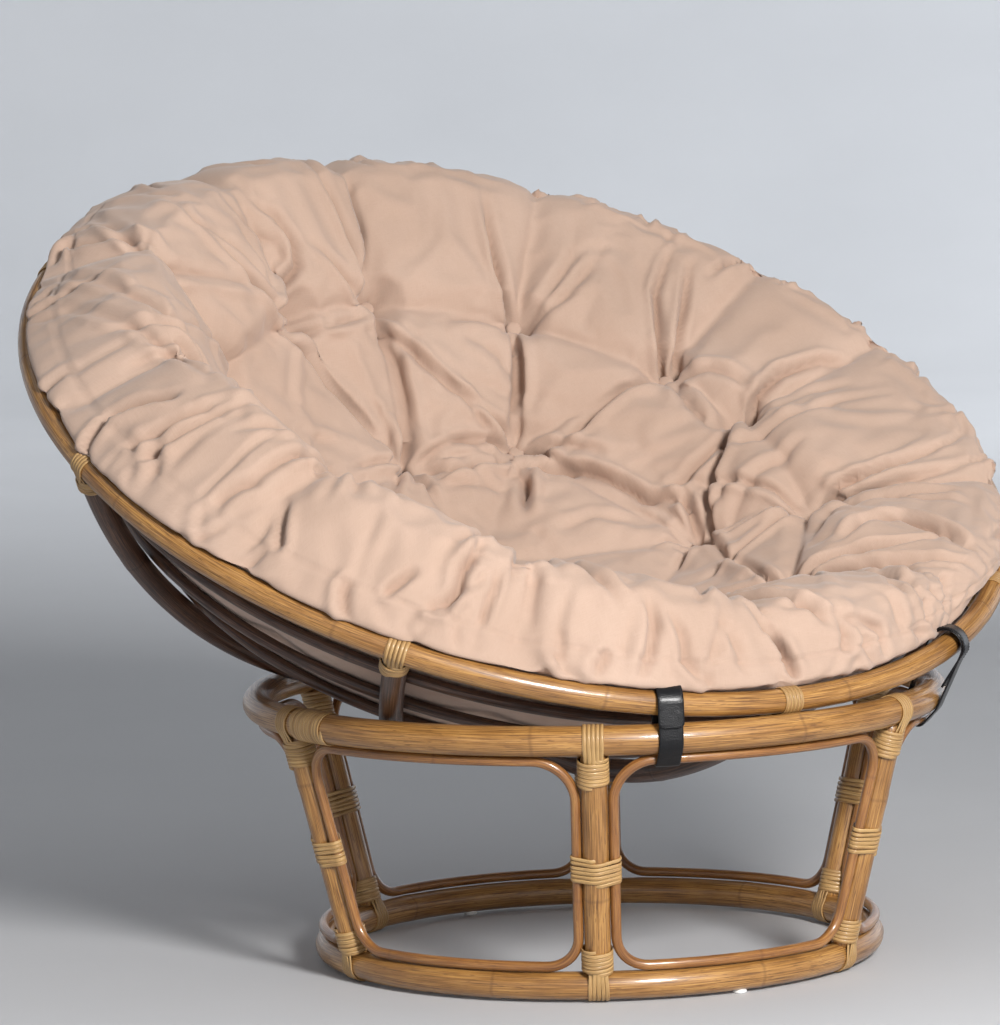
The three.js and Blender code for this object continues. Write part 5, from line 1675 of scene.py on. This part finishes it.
def set_on_points_tree():
    tree, given, out = geometry_tree("set_on_points", [
        ("Piece", "NodeSocketObject", None), ("Material", "NodeSocketMaterial", None)])
    points = place(tree, "GeometryNodeMeshToPoints", {"Mesh": given["Geometry"]}).outputs[0]
    up = place(tree, "GeometryNodeInputNamedAttribute", {"Name": "out"}, data_type="FLOAT_VECTOR").outputs[0]
    turn = place(tree, "FunctionNodeAlignRotationToVector", {"Vector": up}, axis="Z").outputs[0]
    piece = place(tree, "GeometryNodeObjectInfo", {"Object": given["Piece"]}).outputs["Geometry"]
    placed = place(tree, "GeometryNodeInstanceOnPoints", {
        "Points": points, "Instance": piece, "Rotation": turn})
    smooth = place(tree, "GeometryNodeSetShadeSmooth", {"Geometry": placed.outputs[0]}).outputs[0]
    real = place(tree, "GeometryNodeRealizeInstances", {"Geometry": smooth}).outputs[0]
    painted = place(tree, "GeometryNodeSetMaterial", {"Geometry": real, "Material": given["Material"]})
    tree.links.new(painted.outputs[0], out["Geometry"])
    return tree


away = fine_points / np.linalg.norm(fine_points, axis=1)[:, None]
top_side = np.linalg.norm(fine_points, axis=1) < TOP_SIDE_R
room_normals = fine_normals @ BOWL_TURN.T
spots, outs = [], []
for i, tuft in enumerate(tufts):
    if i in BURIED_TUFTS:
        continue
    near = np.where(top_side & (away @ tuft > math.cos(SPOT_ANGLE)))[0]
    ring = np.where(top_side & (away @ tuft > math.cos(SLOPE_ANGLE)))[0]
    spot = room_points[near].mean(axis=0)
    out = room_normals[ring].mean(axis=0)
    out /= np.linalg.norm(out)
    spots.append(spot + out * BUTTON_STAND)
    outs.append(out)
template = button_object()
buttons = path_object("cushion_buttons", [np.array(spots)], [np.array(outs)])
grown(buttons, set_on_points_tree(), {"Piece": template, "Material": cotton})
bpy.data.objects.remove(template, do_unlink=True)
settle(buttons, "cushion", "cushion_cotton")
print(len(spots), "buttons")

# %% [markdown]
# ## The paper
#
# The chair stands on pale paper that bends up into a wall. A flat sheet behind it would be enough for the
# photograph, but the chair is looked at from all round, so the wall runs all the way round it, like a very
# wide bowl. Its material is see-through from outside, so a camera that stands behind the wall still sees the
# chair and the paper on the far side.

# %% Stage
FLOOR_RADIUS, PAPER_BEND, PAPER_TOP = 7.4, 4.0, 7.0
PAPER_SEGMENTS, BEND_STEPS = 96, 18


def round_paper():
    """A round floor that bends up into a wall, as one smooth sheet that faces inwards."""
    profile = [(2.5, 0.0), (5.0, 0.0), (FLOOR_RADIUS, 0.0)]
    for i in range(1, BEND_STEPS + 1):
        a = math.pi / 2 * i / BEND_STEPS
        profile.append((FLOOR_RADIUS + PAPER_BEND * math.sin(a), PAPER_BEND - PAPER_BEND * math.cos(a)))
    profile.append((FLOOR_RADIUS + PAPER_BEND, PAPER_TOP))
    n = len(profile)
    verts, faces = [BASE_AXIS.copy()], []
    for k in range(PAPER_SEGMENTS):
        turn = 2 * math.pi * k / PAPER_SEGMENTS
        a, b = 1 + k * n, 1 + (k + 1) % PAPER_SEGMENTS * n
        verts += [BASE_AXIS + Vector((r * math.cos(turn), r * math.sin(turn), z)) for r, z in profile]
        faces.append((0, a, b))
        faces += [(a + i, a + i + 1, b + i + 1, b + i) for i in range(n - 1)]
    return mesh_object("paper", verts, [], faces, smooth=True)


paper, paper_nodes, paper_skin = shader("paper")
speck = place(paper_nodes, "ShaderNodeTexNoise", {
    "Vector": place(paper_nodes, "ShaderNodeTexCoord").outputs["Object"], "Scale": 1.3, "Detail": 5.0})
tone = ramp(paper_nodes, speck.outputs["Fac"], [(0.3, (0.535, 0.54, 0.556)), (0.7, (0.565, 0.57, 0.586))])
paper_nodes.links.new(tone, paper_skin.inputs["Base Color"])
paper_skin.inputs["Roughness"].default_value = 0.75
wall_back = place(paper_nodes, "ShaderNodeNewGeometry").outputs["Backfacing"]
see_through = place(paper_nodes, "ShaderNodeBsdfTransparent").outputs[0]
one_sided = place(paper_nodes, "ShaderNodeMixShader", {0: wall_back, 1: paper_skin.outputs[0], 2: see_through})
paper_nodes.links.new(one_sided.outputs[0], paper_nodes.nodes["Material Output"].inputs["Surface"])
sheet = round_paper()
sheet.data.materials.append(paper)

print("paper", 2 * (FLOOR_RADIUS + PAPER_BEND), "m across")

# %% [markdown]
# ## The light
#
# The main light is a round lamp low at the front right, whose edges are soft enough to blur the long shadow
# that falls to the left and back. A wide panel above gives everything a little light. Softboxes all round
# face away from the chair and wash the paper, the right side more than the left, as in the photograph. No
# camera sees the lights themselves.

# %% Lights
AIM = BASE_AXIS + Vector((0, 0, 0.45))
AHEAD = Vector((math.sin(CAMERA_YAW), math.cos(CAMERA_YAW), 0))
ASIDE = Vector((math.cos(CAMERA_YAW), -math.sin(CAMERA_YAW), 0))
KEY_COLOR, PANEL_COLOR, WASH_COLOR = (1.0, 0.985, 0.965), (0.97, 0.985, 1.0), (0.93, 0.965, 1.0)
KEY_DISTANCE, KEY_BLUR, KEY_CONE, KEY_EDGE = 3.9, 0.45, math.radians(56), 0.55
PANEL_DISTANCE, PANEL_SIZE = 5.2, 11.0
# How far out and up the softboxes stand, and where on the wall they point
WASH_OUT, WASH_UP, WASH_SIZE, WALL_OUT, WALL_UP = 4.6, 3.9, 1.8, 10.2, 1.0
# Which way each softbox faces, how far across it stands, and its power
WASHES = [("wall_left", AHEAD, -4, 138), ("wall_right", AHEAD, 4, 460),
          ("front_left", -AHEAD, -4, 260), ("front_right", -AHEAD, 4, 260),
          ("side_left", -ASIDE, 0, 260), ("side_right", ASIDE, 0, 260)]


def toward(aside, height):
    """A direction from the chair: degrees to the right of the camera, and degrees up."""
    a, e = math.radians(aside), math.radians(height)
    return (ASIDE * math.sin(a) - AHEAD * math.cos(a)) * math.cos(e) + Vector((0, 0, math.sin(e)))


def hang_light(name, kind, power, color, spot, back):
    """A light that no camera sees. It shines the opposite way from `back`."""
    data = bpy.data.lights.new(name, kind)
    data.energy, data.color = power, color
    light = bpy.data.objects.new(name, data)
    light.location = spot
    light.rotation_euler = back.to_track_quat("Z", "Y").to_euler()
    light.visible_camera = False
    bpy.context.scene.collection.objects.link(light)
    return data


key_side, above = toward(22, 23), toward(0, 90)
key = hang_light("key", "SPOT", 800, KEY_COLOR, AIM + key_side * KEY_DISTANCE, key_side)
key.shadow_soft_size, key.spot_size, key.spot_blend = KEY_BLUR, KEY_CONE, KEY_EDGE
panel = hang_light("ceiling", "AREA", 175, PANEL_COLOR, AIM + above * PANEL_DISTANCE, above)
panel.shape, panel.size = "SQUARE", PANEL_SIZE
for name, outward, across, power in WASHES:
    spot = BASE_AXIS + outward * WASH_OUT + ASIDE * across + Vector((0, 0, WASH_UP))
    on_wall = BASE_AXIS + outward * WALL_OUT + ASIDE * across + Vector((0, 0, WALL_UP))
    wash = hang_light(name, "AREA", power, WASH_COLOR, spot, spot - on_wall)
    wash.shape, wash.size = "SQUARE", WASH_SIZE
world = bpy.data.worlds.new("room")
world.use_nodes = True
room_air = world.node_tree.nodes["Background"].inputs
room_air["Color"].default_value, room_air["Strength"].default_value = (0.82, 0.87, 0.95, 1), 0.03
bpy.context.scene.world = world
bpy.context.scene.view_settings.view_transform = "Standard"
print(2 + len(WASHES), "lights")
